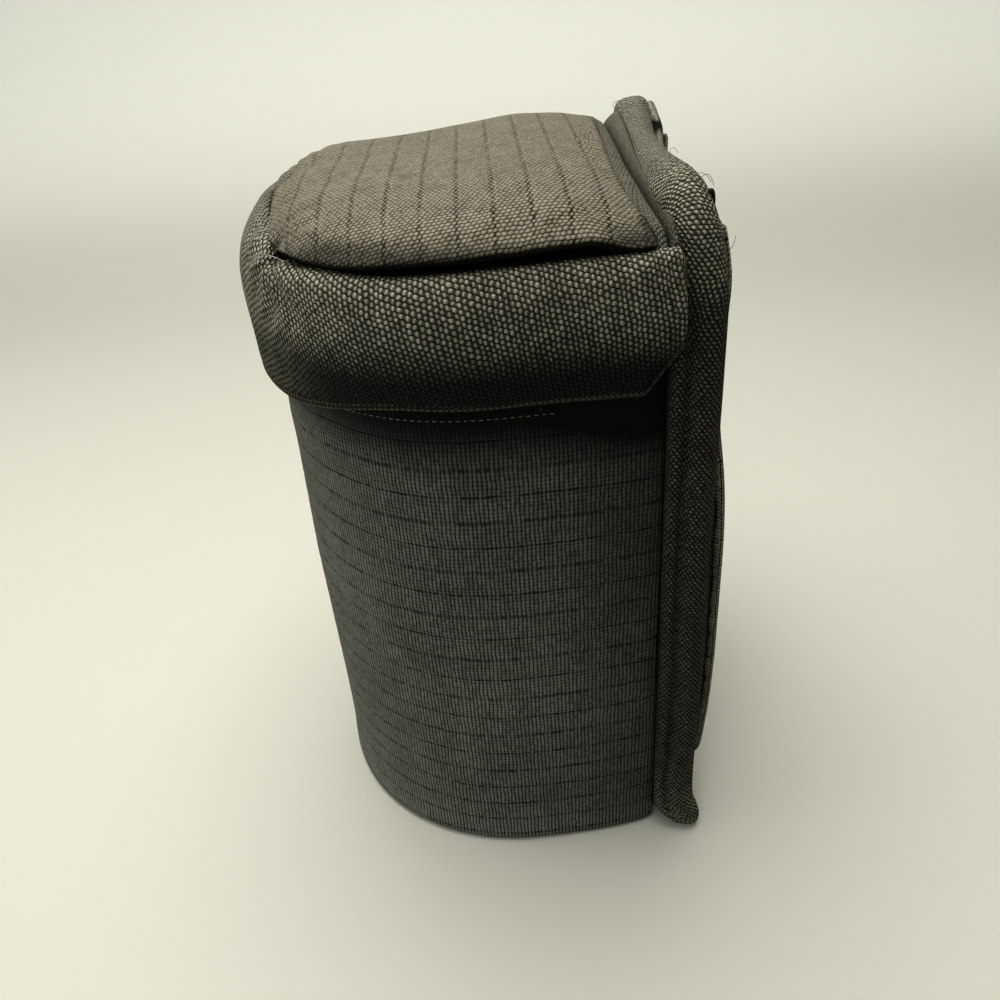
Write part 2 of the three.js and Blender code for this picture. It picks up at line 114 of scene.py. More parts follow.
def wave(x, y, seed, amp=1.0):
    """Smooth repeatable unevenness in about -1..1: a sum of a few plane waves."""
    g = np.random.default_rng(seed)
    out = 0.0
    for k in range(7):
        a = g.uniform(0, 2 * math.pi)
        f = g.uniform(0.5, 1.9)
        out = out + np.sin(f * (np.cos(a) * x + np.sin(a) * y) + g.uniform(0, 6.28)) / 7 * 1.9
    return amp * out


# ---- mesh kit -------------------------------------------------------------------------------
class Build:
    """Collects quads with a weave coordinate in millimetres for each corner."""

    def __init__(self):
        self.v, self.f, self.uv, self.m, self.n = [], [], [], [], 0

    def add(self, points):
        points = np.asarray(points, float).reshape(-1, 3)
        start = self.n
        self.v.append(points)
        self.n += len(points)
        return np.arange(start, self.n)

    def quads(self, a, b, c, d, ua, ub, uc, ud, mat=0):
        f = np.stack([a.ravel(), b.ravel(), c.ravel(), d.ravel()], 1)
        uv = np.stack([x.reshape(-1, 2) for x in (ua, ub, uc, ud)], 1)
        self.f.append(f)
        self.uv.append(uv)
        self.m.append(np.full(len(f), mat))

    def grid(self, P, UV, mat=0, flip=False, ids=None):
        """P is (rows, columns, 3); UV (rows, columns, 2). Returns the vertex numbers."""
        ids = self.add(P).reshape(P.shape[:2]) if ids is None else ids
        self.link(ids, UV, mat, flip)
        return ids

    def link(self, ids, UV, mat=0, flip=False):
        a, b, c, d = ids[:-1, :-1], ids[:-1, 1:], ids[1:, 1:], ids[1:, :-1]
        ua, ub, uc, ud = UV[:-1, :-1], UV[:-1, 1:], UV[1:, 1:], UV[1:, :-1]
        if flip:
            self.quads(a, d, c, b, ua, ud, uc, ub, mat)
        else:
            self.quads(a, b, c, d, ua, ub, uc, ud, mat)

    def arrays(self):
        return np.concatenate(self.v), np.concatenate(self.f), np.concatenate(self.uv), np.concatenate(self.m)

    def object(self, name, mats, scale=MM, smooth_shade=True, outward=True):
        v, f, uv, mi = self.arrays()
        if outward:
            p = v[f]
            n = np.cross(p[:, 1] - p[:, 0], p[:, 2] - p[:, 0])
            n2 = np.cross(p[:, 2] - p[:, 0], p[:, 3] - p[:, 0])
            vol = (p[:, 0] * n).sum() + (p[:, 0] * n2).sum()
            if vol < 0:
                f, uv = f[:, ::-1], uv[:, ::-1]
        me = bpy.data.meshes.new(name)
        me.vertices.add(len(v))
        me.vertices.foreach_set("co", (v * scale).astype(np.float32).ravel())
        me.loops.add(f.size)
        me.loops.foreach_set("vertex_index", f.astype(np.int32).ravel())
        me.polygons.add(len(f))
        me.polygons.foreach_set("loop_start", np.arange(0, f.size, 4, dtype=np.int32))
        me.polygons.foreach_set("loop_total", np.full(len(f), 4, np.int32))
        me.update(calc_edges=True)
        layer = me.uv_layers.new(name="weave")
        layer.data.foreach_set("uv", uv.astype(np.float32).ravel())
        me.polygons.foreach_set("material_index", mi.astype(np.int32))
        me.polygons.foreach_set("use_smooth", np.full(len(f), smooth_shade, dtype=bool))
        me.validate()
        o = bpy.data.objects.new(name, me)
        for mat in mats:
            me.materials.append(mat)
        bpy.context.scene.collection.objects.link(o)
        return o


def shell(b, A, B, UV, mat=0, mat_in=None, UVB=None):
    """A closed sheet between two grids of the same shape."""
    mat_in = mat if mat_in is None else mat_in
    UVB = UV if UVB is None else UVB
    ia = b.grid(A, UV, mat)
    ib = b.grid(B, UVB, mat_in, flip=True)
    for s in (0, 1):
        r = 0 if s == 0 else -1
        strip = np.stack([ib[r], ia[r]]) if s == 0 else np.stack([ia[r], ib[r]])
        uvs = np.stack([UV[r] - (0, 0.5) if s == 0 else UV[r], UV[r] if s == 0 else UV[r] + (0, 0.5)])
        b.link(strip, uvs, mat)
        cstrip = np.stack([ia[:, r], ib[:, r]], 1) if s else np.stack([ib[:, r], ia[:, r]], 1)
        cuv = np.stack([UV[:, r], UV[:, r] + (0.5, 0)], 1) if s else np.stack([UV[:, r] - (0.5, 0), UV[:, r]], 1)
        b.link(cstrip, cuv, mat)
    return ia, ib


def closed_ring(ids):
    return np.concatenate([ids, ids[:1]], 0)


def coords(o):
    c = np.zeros(len(o.data.vertices) * 3, np.float32)
    o.data.vertices.foreach_get("co", c)
    return c.reshape(-1, 3).astype(float)


def set_coords(o, c):
    o.data.vertices.foreach_set("co", np.asarray(c, np.float32).ravel())
    o.data.update()


def puff(o, free, pressure, frames, cap, slack=0.03, bending=0.6, stiff=18.0, out=None):
    """Swells the free part of a closed piece with a cloth simulation, whose result stays in the mesh.
    free is 0 at sewn points and 1 where the cloth may move; cap, in metres, bounds the move."""
    rest = coords(o)
    big = 10.0  # simulated at ten times its size, where the solver is steadier
    set_coords(o, rest * big)
    group = o.vertex_groups.new(name="sewn")
    pin = np.clip(1.0 - free, 0, 1)
    for value in np.unique(np.round(pin, 2)):
        if value > 0:
            group.add([int(k) for k in np.nonzero(np.round(pin, 2) == value)[0]], float(value), "REPLACE")
    mod = o.modifiers.new("swell", "CLOTH")
    st = mod.settings
    st.quality = 7
    st.mass = 0.25
    st.air_damping = 2.0
    st.tension_stiffness = stiff
    st.compression_stiffness = stiff
    st.shear_stiffness = stiff * 0.5
    st.bending_stiffness = bending
    st.tension_damping = st.compression_damping = 10.0
    st.use_pressure = True
    st.uniform_pressure_force = pressure
    st.vertex_group_mass = "sewn"
    st.pin_stiffness = 1.0
    st.shrink_min = -slack
    st.effector_weights.gravity = 0.0
    mod.collision_settings.use_collision = False
    mod.point_cache.frame_start = 1
    mod.point_cache.frame_end = frames + 1
    scene = bpy.context.scene
    for k in range(1, frames + 1):
        scene.frame_set(k)
    dg = bpy.context.evaluated_depsgraph_get()
    ev = o.evaluated_get(dg)
    me = ev.to_mesh()
    c = np.zeros(len(me.vertices) * 3, np.float32)
    me.vertices.foreach_get("co", c)
    ev.to_mesh_clear()
    new = c.reshape(-1, 3).astype(float) / big
    o.modifiers.remove(mod)
    o.vertex_groups.remove(group)
    scene.frame_set(1)
    move = new - rest
    size = np.linalg.norm(move, axis=1)
    bad = ~np.isfinite(size)
    move[bad], size[bad] = 0, 0
    limit = cap * free
    k = np.where(size > limit, limit / np.maximum(size, 1e-9), 1.0)
    new = rest + move * k[:, None]
    print("puff", o.name, "mean move mm %.2f, most %.2f" % (size.mean() * 1000, size.max() * 1000))
    set_coords(o, new)
    return new


def subdivide(o, levels=1):
    mod = o.modifiers.new("smooth", "SUBSURF")
    mod.levels = mod.render_levels = levels
    mod.boundary_smooth = "ALL"
    return mod


def relax(P, rounds=1, keep=None):
    """Light smoothing of a grid of points, borders left in place."""
    P = P.copy()
    for _ in range(rounds):
        Q = P.copy()
        Q[1:-1, 1:-1] = (P[:-2, 1:-1] + P[2:, 1:-1] + P[1:-1, :-2] + P[1:-1, 2:]) / 4
        P = P * 0.5 + Q * 0.5
    return P


def mark(o, name, values):
    a = o.data.attributes.new(name, "FLOAT", "POINT")
    a.data.foreach_set("value", np.asarray(values, np.float32).ravel())

# ---- materials ------------------------------------------------------------------------------
class Val:
    """A number in a node tree, with the usual arithmetic."""

    def __init__(self, tree, sock):
        self.t, self.s = tree, sock

    def op(self, kind, *others, clamp=False):
        n = self.t.nodes.new("ShaderNodeMath")
        n.operation = kind
        n.use_clamp = clamp
        for k, x in enumerate((self, *others)):
            if isinstance(x, Val):
                self.t.links.new(x.s, n.inputs[k])
            else:
                n.inputs[k].default_value = x
        return Val(self.t, n.outputs[0])

    def __add__(self, o):
        return self.op("ADD", o)

    def __radd__(self, o):
        return self.op("ADD", o)

    def __sub__(self, o):
        return self.op("SUBTRACT", o)

    def __rsub__(self, o):
        n = self.op("MULTIPLY", -1.0)
        return n.op("ADD", o)

    def __mul__(self, o):
        return self.op("MULTIPLY", o)

    def __rmul__(self, o):
        return self.op("MULTIPLY", o)

    def max(self, o):
        return self.op("MAXIMUM", o)

    def min(self, o):
        return self.op("MINIMUM", o)

    def pow(self, o):
        return self.op("POWER", o)

    def clamp(self):
        return self.op("ADD", 0.0, clamp=True)


def ramp(v, a, b):
    """0 below a, 1 above b, smooth between."""
    n = v.t.nodes.new("ShaderNodeMapRange")
    n.interpolation_type = "SMOOTHSTEP"
    v.t.links.new(v.s, n.inputs["Value"])
    n.inputs["From Min"].default_value, n.inputs["From Max"].default_value = a, b
    return Val(v.t, n.outputs[0])


def noise(tree, vec, scale, detail=2.0, rough=0.5, dims="3D"):
    n = tree.nodes.new("ShaderNodeTexNoise")
    n.noise_dimensions = dims
    n.inputs["Scale"].default_value = scale
    n.inputs["Detail"].default_value = detail
    n.inputs["Roughness"].default_value = rough
    tree.links.new(vec, n.inputs["Vector"])
    return Val(tree, n.outputs[0])


def mix(tree, f, a, b):
    n = tree.nodes.new("ShaderNodeMix")
    n.data_type = "RGBA"
    for k, x in ((0, f), (6, a), (7, b)):
        if isinstance(x, Val):
            tree.links.new(x.s, n.inputs[k])
        elif hasattr(x, "is_linked"):
            tree.links.new(x, n.inputs[k])
        else:
            n.inputs[k].default_value = x if k == 0 else (*x, 1.0)
    return n.outputs[2]


def new_material(name):
    mt = bpy.data.materials.new(name)
    mt.use_nodes = True
    t = mt.node_tree
    p = next(n for n in t.nodes if n.type == "BSDF_PRINCIPLED")
    return mt, t, p


def combine(tree, x, y, z=0.0):
    n = tree.nodes.new("ShaderNodeCombineXYZ")
    for k, v in enumerate((x, y, z)):
        if isinstance(v, Val):
            tree.links.new(v.s, n.inputs[k])
        else:
            n.inputs[k].default_value = v
    return n.outputs[0]


def weave_material(name, light, dark, pu=0.83, pv=0.457, rip=0, rip_at=0.0, turn=0.0, depth=0.26, bead=0.62, jitter=0.16,
                   tint=(0.245, 0.222, 0.165), rough=0.92, sheen=0.02, dust_and_light_share=0.5, cut=(0.50, 1.04), rip_dark=0.95, ribbed=False):
    """Woven cloth: columns of beads every pu, offset by half from one column to the next, with
    a weft every pv and, where rip is set, a darker dashed line every so many wefts. Ribbed
    cloth has its beads level with each other and run together into ribs."""
    mt, t, p = new_material(name)
    uvn = t.nodes.new("ShaderNodeUVMap")
    uvn.uv_map = "weave"
    sep = t.nodes.new("ShaderNodeSeparateXYZ")
    t.links.new(uvn.outputs[0], sep.inputs[0])
    u, v = Val(t, sep.outputs[0]), Val(t, sep.outputs[1])
    if turn:
        c, s = math.cos(turn), math.sin(turn)
        u, v = u * c + v * s, v * c - u * s
    lazy = noise(t, combine(t, u, v), 0.22, 2.0)
    lazy2 = noise(t, combine(t, u + 37.0, v - 11.0), 0.35, 2.0)
    fine = noise(t, combine(t, u, v), 1.3, 2.0, 0.6)
    uu = u + (lazy - 0.5) * (jitter * 4.2) + (fine - 0.5) * (jitter * 0.9)
    vv = v + (lazy2 - 0.5) * (jitter * 3.4) + (fine - 0.5) * (jitter * 0.7)
    U = uu * (1 / pu)
    i = U.op("FLOOR")
    fu = U - i - 0.5
    odd = i.op("FLOORED_MODULO", 2.0)
    V = vv * (1 / pv)
    ph = (V - rip_at) * 0.5 + 0.5 if ribbed else V * 0.5 + odd * 0.5
    # each bead a little different
    cell = t.nodes.new("ShaderNodeTexWhiteNoise")
    cell.noise_dimensions = "2D"
    t.links.new(combine(t, i, ph.op("FLOOR")), cell.inputs["Vector"])
    odd_one = Val(t, cell.outputs[0])
    c = ((ph + (odd_one - 0.5) * 0.10 + fu * 0.16) * (2 * math.pi)).op("COSINE")
    across = (1.0 - fu * fu * 4.4).max(0.0).op("SQRT")
    along_ = c * 0.5 + 0.5
    warp = across * (along_ * bead + (1 - bead))
    weft = (1.0 - along_) * (1.0 - fu * fu * 1.6) * 0.34
    h = warp.max(weft)
    edge = fu.op("ABSOLUTE")
    fibre = noise(t, combine(t, u * 7.0, v * 2.0), 1.6, 3.0, 0.7)
    shade = ramp(h + (fibre - 0.5) * 0.18, cut[0], cut[1])
    shade = shade * (0.84 + (odd_one - 0.5) * (0.36 if ribbed else 0.6) + (fibre - 0.5) * 0.85)
    # painted shade: each rip line is darkened in dashes, for the shadow beside its raised weft
    if ribbed:
        pin = ramp(edge, 0.27, 0.45) * ramp(1.0 - along_, 0.30, 0.80)
        shade = shade * (1.0 - pin * 0.7)
        h = h - pin * 0.25
        rr = (V - rip_at) * (1.0 / rip) + 0.5
        near = ((rr - rr.op("FLOOR")) - 0.5) * float(rip)
        dash = t.nodes.new("ShaderNodeTexWhiteNoise")
        dash.noise_dimensions = "2D"
        t.links.new(combine(t, i, rr.op("FLOOR")), dash.inputs["Vector"])
        patchy = ramp(noise(t, combine(t, u, v * 0.3), 0.13, 2.0), 0.34, 0.58)
        r = (1.0 - ramp(near.op("ABSOLUTE"), 0.35, 0.95)) * (Val(t, dash.outputs[0]) * 0.7 + 0.3) * (patchy * 0.6 + 0.4)
        r = r * (1.0 - ramp(edge, 0.40, 0.50) * 0.35)
        shade = shade * (1.0 - r * rip_dark)
        h = h - r * 0.55
    elif rip:
        rr = (V - rip_at) * (1.0 / rip) + 0.5
        near = ((rr - rr.op("FLOOR")) - 0.5) * float(rip)
        patchy = ramp(noise(t, combine(t, u, v * 0.3), 0.13, 2.0), 0.36, 0.58)
        r = (1.0 - ramp(near.op("ABSOLUTE"), 0.45, 1.15)) * (patchy * 0.5 + 0.5)
        gap = r * ramp(1.0 - along_, 0.3, 0.75)
        second = 1.0 - ramp((near - 1.3).op("ABSOLUTE"), 0.3, 0.9)
        shade = shade * (1.0 - gap * rip_dark) * (1.0 - r * (0.40 * rip_dark)) + second * along_ * 0.07
        h = h - gap * (0.5 * rip_dark) - r * 0.08 + second * 0.05
    wide = noise(t, combine(t, u, v), 0.035, 4.0, 0.6)
    mid = noise(t, combine(t, u + 5.0, v), 0.16, 3.0, 0.6)
    shade = shade * (1.0 + (wide - 0.5) * 0.6 + (mid - 0.5) * 0.6)
    base = mix(t, shade.clamp(), dark, light)
    # painted shade: where the mesh marks it, the cloth is mixed towards near-black to stand for the shade under the
    # skirt, in slots, seams and creases and on sides turned from the light
    ad = t.nodes.new("ShaderNodeAttribute")
    ad.attribute_name = "painted_shade"
    painted_shade = Val(t, ad.outputs["Fac"])
    base = mix(t, (painted_shade * 0.97).clamp(), base, (0.003, 0.0036, 0.0034))
    # pale tint where the mesh marks it: partly real dust and rubbing, partly painted light on the tops and sides that
    # the lamps light most
    at = t.nodes.new("ShaderNodeAttribute")
    at.attribute_name = "dust_and_painted_light"
    dust_and_painted_light = Val(t, at.outputs["Fac"])
    dust_and_light_mix = (dust_and_painted_light * (dust_and_light_share * 1.0) * ramp(h + (fibre - 0.5) * 0.8 + (mid - 0.5) * 0.3, 0.18, 0.95)).clamp()
    base = mix(t, dust_and_light_mix, base, tint)
    # single pale specks of lint
    speck = noise(t, combine(t, u, v), 2.6, 1.0)
    base = mix(t, ramp(speck, 0.765, 0.80) * 0.55, base, (0.34, 0.33, 0.27))
    t.links.new(base, p.inputs["Base Color"])
    p.inputs["Roughness"].default_value = rough
    p.inputs["Specular IOR Level"].default_value = 0.10
    p.inputs["Sheen Weight"].default_value = sheen
    p.inputs["Sheen Roughness"].default_value = 0.45
    p.inputs["Sheen Tint"].default_value = (0.75, 0.74, 0.68, 1.0)
    bump = t.nodes.new("ShaderNodeBump")
    bump.inputs["Strength"].default_value = 1.0
    bump.inputs["Distance"].default_value = depth * MM
    t.links.new((h + (fibre - 0.5) * 0.22 + (odd_one - 0.5) * 0.12).s, bump.inputs["Height"])
    t.links.new(bump.outputs[0], p.inputs["Normal"])
    return mt


def plain_material(name, a, b, scale, rough=0.9, bump_mm=0.1, grain=900.0, sheen=0.0):
    """Uneven cloth, foam or felt without a visible weave."""
    mt, t, p = new_material(name)
    tc = t.nodes.new("ShaderNodeTexCoord")
    one = noise(t, tc.outputs["Object"], scale, 4.0, 0.6)
    two = noise(t, tc.outputs["Object"], grain, 3.0, 0.7)
    f = (ramp(one, 0.3, 0.7) * 0.55 + two * 0.45).clamp()
    t.links.new(mix(t, f, a, b), p.inputs["Base Color"])
    p.inputs["Roughness"].default_value = rough
    p.inputs["Specular IOR Level"].default_value = 0.2
    p.inputs["Sheen Weight"].default_value = sheen
    bump = t.nodes.new("ShaderNodeBump")
    bump.inputs["Strength"].default_value = 1.0
    bump.inputs["Distance"].default_value = bump_mm * MM
    t.links.new((two * 0.7 + one * 0.3).s, bump.inputs["Height"])
    t.links.new(bump.outputs[0], p.inputs["Normal"])
    return mt


LIGHT, DARK = (0.235, 0.233, 0.186), (0.002, 0.0024, 0.0022)
TOPL = (0.160, 0.150, 0.114)
WRAPL = (0.130, 0.137, 0.120)
BIASL, BINDL = (0.37, 0.364, 0.290), (0.36, 0.356, 0.283)
rip_wrap = weave_material("ripstop_wrap", WRAPL, DARK, pv=0.4415, rip=13, rip_at=112.3 / 0.4415, bead=0.32, depth=0.21, cut=(0.02, 0.86), tint=(0.25, 0.265, 0.245), rip_dark=0.8,
                          ribbed=True)
rip_lid = weave_material("ripstop_lid", TOPL, DARK, rip=13, rip_at=3.0, depth=0.13, bead=0.6, cut=(0.04, 0.90), rip_dark=0.6, jitter=0.22)
rip_back = weave_material("ripstop_back", LIGHT, DARK, rip=14, rip_at=4.0, bead=0.34, depth=0.3, cut=(0.30, 1.02), ribbed=True)
bias = weave_material("bias_cloth", BIASL, DARK, pu=0.90, pv=0.52, turn=math.pi / 2 + 0.39, depth=0.66, bead=0.85, jitter=0.26, cut=(0.10, 0.90))
hem_cloth = weave_material("hem_cloth", (0.10, 0.098, 0.08), DARK, pu=0.9, pv=0.5, turn=0.5, depth=0.16, bead=0.6, cut=(0.1, 0.9))
bind = weave_material("binding_cloth", BINDL, DARK, pu=0.71, pv=0.52, turn=0.0, depth=0.60, bead=0.85, jitter=0.24, cut=(0.12, 0.92))
lining_cloth = weave_material("lining_cloth", (0.05, 0.052, 0.055), (0.010, 0.010, 0.011), pu=0.4, pv=0.35, depth=0.08,
                              rough=0.6, sheen=0.05, dust_and_light_share=0.1)
foam_mat = plain_material("foam", (0.02, 0.02, 0.022), (0.045, 0.046, 0.05), 300.0, 0.95, 0.2)
board_mat = plain_material("board", (0.012, 0.012, 0.013), (0.03, 0.03, 0.032), 120.0, 0.55, 0.05)
black_mat = plain_material("dark_felt", (0.003, 0.003, 0.003), (0.010, 0.010, 0.010), 700.0, 0.95, 0.1, 2600.0)
tape_mat = weave_material("hinge_cloth", (0.095, 0.096, 0.077), (0.010, 0.011, 0.010), pu=0.62, pv=0.36, turn=0.3, depth=0.2, bead=0.5, cut=(0.1, 0.95))
thread_mat = plain_material("thread", (0.02, 0.02, 0.02), (0.06, 0.06, 0.055), 900.0, 0.7, 0.03, 4000.0)
dull_thread = plain_material("dull_thread", (0.10, 0.10, 0.085), (0.19, 0.19, 0.165), 900.0, 0.7, 0.02, 4000.0)
pale_thread = plain_material("pale_thread", (0.22, 0.21, 0.18), (0.38, 0.37, 0.32), 900.0, 0.7, 0.02, 4000.0)


def pile_material(name, a, b, scale):
    """Hook or loop cloth: a dense field of small tufts."""
    mt, t, p = new_material(name)
    tc = t.nodes.new("ShaderNodeTexCoord")
    vor = t.nodes.new("ShaderNodeTexVoronoi")
    vor.inputs["Scale"].default_value = scale
    t.links.new(tc.outputs["Object"], vor.inputs["Vector"])
    d = Val(t, vor.outputs["Distance"])
    n = noise(t, tc.outputs["Object"], scale * 1.7, 3.0, 0.7)
    tuft = 1.0 - ramp(d + (n - 0.5) * 0.3, 0.15, 0.7)
    t.links.new(mix(t, tuft, a, b), p.inputs["Base Color"])
    p.inputs["Roughness"].default_value = 0.8
    bump = t.nodes.new("ShaderNodeBump")
    bump.inputs["Strength"].default_value = 1.0
    bump.inputs["Distance"].default_value = 0.35 * MM
    t.links.new(tuft.s, bump.inputs["Height"])
    t.links.new(bump.outputs[0], p.inputs["Normal"])
    return mt


hook_mat = pile_material("hook_cloth", (0.004, 0.004, 0.004), (0.03, 0.03, 0.03), 1100.0)
loop_mat = pile_material("loop_cloth", (0.005, 0.005, 0.005), (0.035, 0.035, 0.034), 700.0)

# ---- wrap -----------------------------------------------------------------------------------
def curve(xs, ys, soft=1.6):
    """A smooth line through a table, as a function."""
    t = np.linspace(xs[0], xs[-1], 1600)
    v = np.interp(t, xs, ys)
    k = soft / (t[1] - t[0])
    w = int(4 * k)
    g = np.exp(-0.5 * (np.arange(-w, w + 1) / k) ** 2)
    v = np.convolve(np.pad(v, w, mode="edge"), g / g.sum(), "valid")
    return lambda q: np.interp(q, t, v)


nu, nz = 300, 170
uu = np.linspace(0, 1, nu + 1)
zz = np.concatenate([np.linspace(0.35, 3.0, 10)[:-1], np.linspace(3.0, WRAP_TOP, nz - 8)])
UU, ZZ = np.meshgrid(uu, zz)
front_z = curve([0, 6, 14, 30, 70, 90, 105, 113, 117.5, 140], [1.0, 0.9, 0.6, 0.35, 0.10, -0.7, -1.4, -1.5, 0.0, 0], 1.8)
side_z = curve([0, 14, 40, 75, 100, 140], [0.25, 0.1, 0.15, 0.3, 0.0, 0.0], 5.0)


def wrap_off(u, z):
    s = arc_mm(u)
    low = np.clip((3.2 - z) / 3.0, 0, 1)
    o = neck(z) - 1.35 * (1 - np.sqrt(np.maximum(1 - low**2, 0)))
    calm = smooth((z - 2) / 12) * smooth((WRAP_TOP - z) / 6) * smooth((u) / 0.04) * smooth((1 - u) / 0.04)
    at_front = smooth((62 - np.abs(s)) / 40)
    ends = smooth(u / 0.05) * smooth((1 - u) / 0.05)
    o = o + at_front * front_z(z) + (1 - at_front) * ends * side_z(z)
    o = o + calm * (wave(s / 24, z / 21, 3, 0.30) + wave(s / 9, z / 12, 4, 0.10) + wave(s / 3.2, z / 9, 5, 0.035))
    # the cloth pulls in a little along each reinforcing line
    k = ((z - 112.3) / 5.74) % 1.0
    k = np.minimum(k, 1 - k)
    o = o - calm * 0.09 * np.exp(-((k * 5.74 / 0.7) ** 2))
    # and along the seam with the back panel
    e = (1 - np.abs(2 * u - 1)) / 2 * (2 * BACK_Y + math.pi * R)
    o = o - 0.55 * np.exp(-((e / 1.6) ** 2))
    # it never sinks into the padding below it
    return np.where(z > 6, np.maximum(o, neck(z) - CLOTH + 0.10), o)


def wrap_grid(o):
    x, y = plan_u(UU, o)
    return np.stack([x, y, ZZ], -1)


off = wrap_off(UU, ZZ)
outer = wrap_grid(off)
inner_off = np.minimum(off - 0.5, -CLOTH + neck(ZZ) - 0.02 - 1.2 * np.clip((3.2 - ZZ) / 3, 0, 1))
b = Build()
UVW = np.stack([arc_mm(UU) + 0.012 * ZZ, ZZ], -1)
shell(b, outer, wrap_grid(inner_off), UVW)
wrap = b.object("body_wrap", [rip_wrap])
co = coords(wrap) / MM
# the wrap's pale tint: painted light, paler towards the front side and near the bottom (light from the left and cool
# bounce from the floor), with a little real dust
mark(wrap, "dust_and_painted_light", 0.16 * smooth((-co[:, 1] - 14) / 25) + 0.50 * smooth((16 - co[:, 2]) / 16) + 0.06 * smooth((70 - co[:, 2]) / 60))
# painted shade on the wrap: darker under the hem, towards the rear and higher up, and less on the front side
under_hem = smooth((co[:, 2] - 103) / 14)
rear_side = smooth((co[:, 1] - 6) / 24)
front_side = smooth((-co[:, 1] - 22) / 22)
mark(wrap, "painted_shade", np.clip(0.82 * under_hem + 0.42 * rear_side + 0.20 * smooth((co[:, 2] - 40) / 70) - 0.45 * front_side, 0, 1))
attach(wrap, "pouch")
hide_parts("body_outer")


# ---- D-shaped discs -------------------------------------------------------------------------
def outline_d(off, taper, rear, corner, front=0.0, n=720):
    """Radius of a D-shaped outline about its middle, for n equal angles."""
    us = np.linspace(0, 1, 500)
    x, y = plan_u(us, off, taper, rear - corner, front)
    xl, c = x[-1], corner
    ex = [xl + c * 0.03, xl + c * 0.13, xl + c * 0.28, xl + c * 0.5, xl + c * 0.77, xl + c * 1.1]
    ey = [rear - c * 0.77, rear - c * 0.5, rear - c * 0.28, rear - c * 0.13, rear - c * 0.03, rear]
    ax = np.array(ex + list(np.linspace(ex[-1], -ex[-1], 60)[1:-1]) + [-q for q in ex[::-1]])
    ay = np.array(ey + [rear] * 58 + ey[::-1]) + Y0
    px, py = np.concatenate([x, ax]), np.concatenate([y, ay])
    cy = Y0 + LID_CY
    ang = np.unwrap(np.arctan2(py - cy, px))
    rad = np.hypot(px, py - cy)
    order = np.argsort(ang)
    th = np.linspace(-math.pi, math.pi, n + 1)
    return th, np.interp(th, ang[order], rad[order], period=2 * math.pi)


def square_disc(n):
    """A square grid laid over the unit disc: radius and angle of each point."""
    g = np.linspace(-1, 1, n + 1)
    X, Y = np.meshgrid(g, g)
    dx, dy = X * np.sqrt(1 - Y**2 / 2), Y * np.sqrt(1 - X**2 / 2)
    return np.hypot(dx, dy).clip(0, 1), np.arctan2(dy, dx)


def border(ids):
    """The border of a square grid of numbers, anticlockwise, once round."""
    return np.concatenate([ids[0, :-1], ids[:-1, -1], ids[-1, :0:-1], ids[:0:-1, 0]])


def plate_points(t, th, table):
    r = np.interp(th, table[0], table[1]) * t
    return r * np.cos(th), Y0 + LID_CY + r * np.sin(th)


def flat_disc(name, off, rear, corner, z_top, z_bot, mats, taper=TAPER, n=60, front=0.0, rounding=0.4):
    """A closed plate of D shape with softly rounded edges; z_top and z_bot are functions of x, y."""
    tab = outline_d(off, taper, rear, corner, front)
    t, th = square_disc(n)
    x, y = plate_points(t, th, tab)
    b = Build()
    uv = np.stack([y, x], -1)
    top = np.stack([x, y, z_top(x, y)], -1)
    bot = np.stack([x, y, z_bot(x, y)], -1)
    shrink = 1 - rounding / 44
    top[..., 0] *= np.where(t > 0.999, shrink, 1)
    ia = b.grid(top, uv)
    ib = b.grid(bot, uv, flip=True)
    ra, rb = border(ia), border(ib)
    xr, yr = border(x), border(y)
    mid = b.add(np.stack([xr, yr, (z_top(xr, yr) + z_bot(xr, yr)) / 2], -1))
    ring = np.stack([closed_ring(rb), closed_ring(mid), closed_ring(ra)])
    d = np.concatenate([[0], np.cumsum(np.hypot(np.diff(closed_ring(xr)), np.diff(closed_ring(yr))))])
    uvr = np.stack([np.stack([d, np.full_like(d, k * 0.6)], -1) for k in range(3)])
    b.link(ring, uvr)
    return b.object(name, mats)

base = flat_disc("base_cloth", -2.2, BACK_Y, 1.2, lambda x, y: 0.98 + 0 * x,
                 lambda x, y: 0.02 + 0.22 * smooth(1 - np.hypot(x, y) / 44) + 0 * x, [rip_back])
mark(base, "dust_and_painted_light", np.full(len(base.data.vertices), 0.2))
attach(base, "pouch")
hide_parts("base_outer")

# ---- lid: the seam between its top and its skirt ----------------------------------------------
SEAM_S = [0, 6.2, 12.5, 19.0, 25.0, 29.6, 33.2, 38.2, 44.5, 52.3, 60, 70.2, 76, 86, 97, 103]
seam_off = curve(SEAM_S, [-6.2, -6.0, -5.3, -3.8, -1.7, -0.1, 0.5, 1.1, 1.7, 1.9, 1.9, 2.0, 2.2, 2.5, 2.6, 2.6])
seam_up = curve(SEAM_S, [147.8, 147.5, 146.7, 145.6, 144.6, 144.0, 143.5, 143.4, 143.3, 143.3, 143.9, 144.3, 144.6, 145.3, 145.2, 144.9])
slot_gap = curve([0, 26, 29.6, 33, 37, 42, 47, 52, 57, 75, 88, 95, 99, 103], [-0.2, -0.1, 0.45, 0.42, 0.36, 0.15, 0.22, 0.55, 0.85, 0.95, 1.2, 0.85, 0.1, -0.2], 1.2)
at_front = lambda s: 1 - smooth((np.abs(s) - 12) / 22)
CORNERS = ((27.4, -33.9), (-27.6, -33.7))

# the line where the top's cloth meets the hinge strip
rear_z = curve([-44, -41, -25, 0, 20, 31, 38, 44], [148.0, 149.0, 150.6, 150.6, 149.7, 148.7, 147.1, 144.9], 2.0)
back_y = curve([-44, -25, 5, 20, 27, 33, 39, 44], [29.8, 28.9, 27.1, 26.7, 26.8, 27.6, 28.9, 30.2], 2.0)


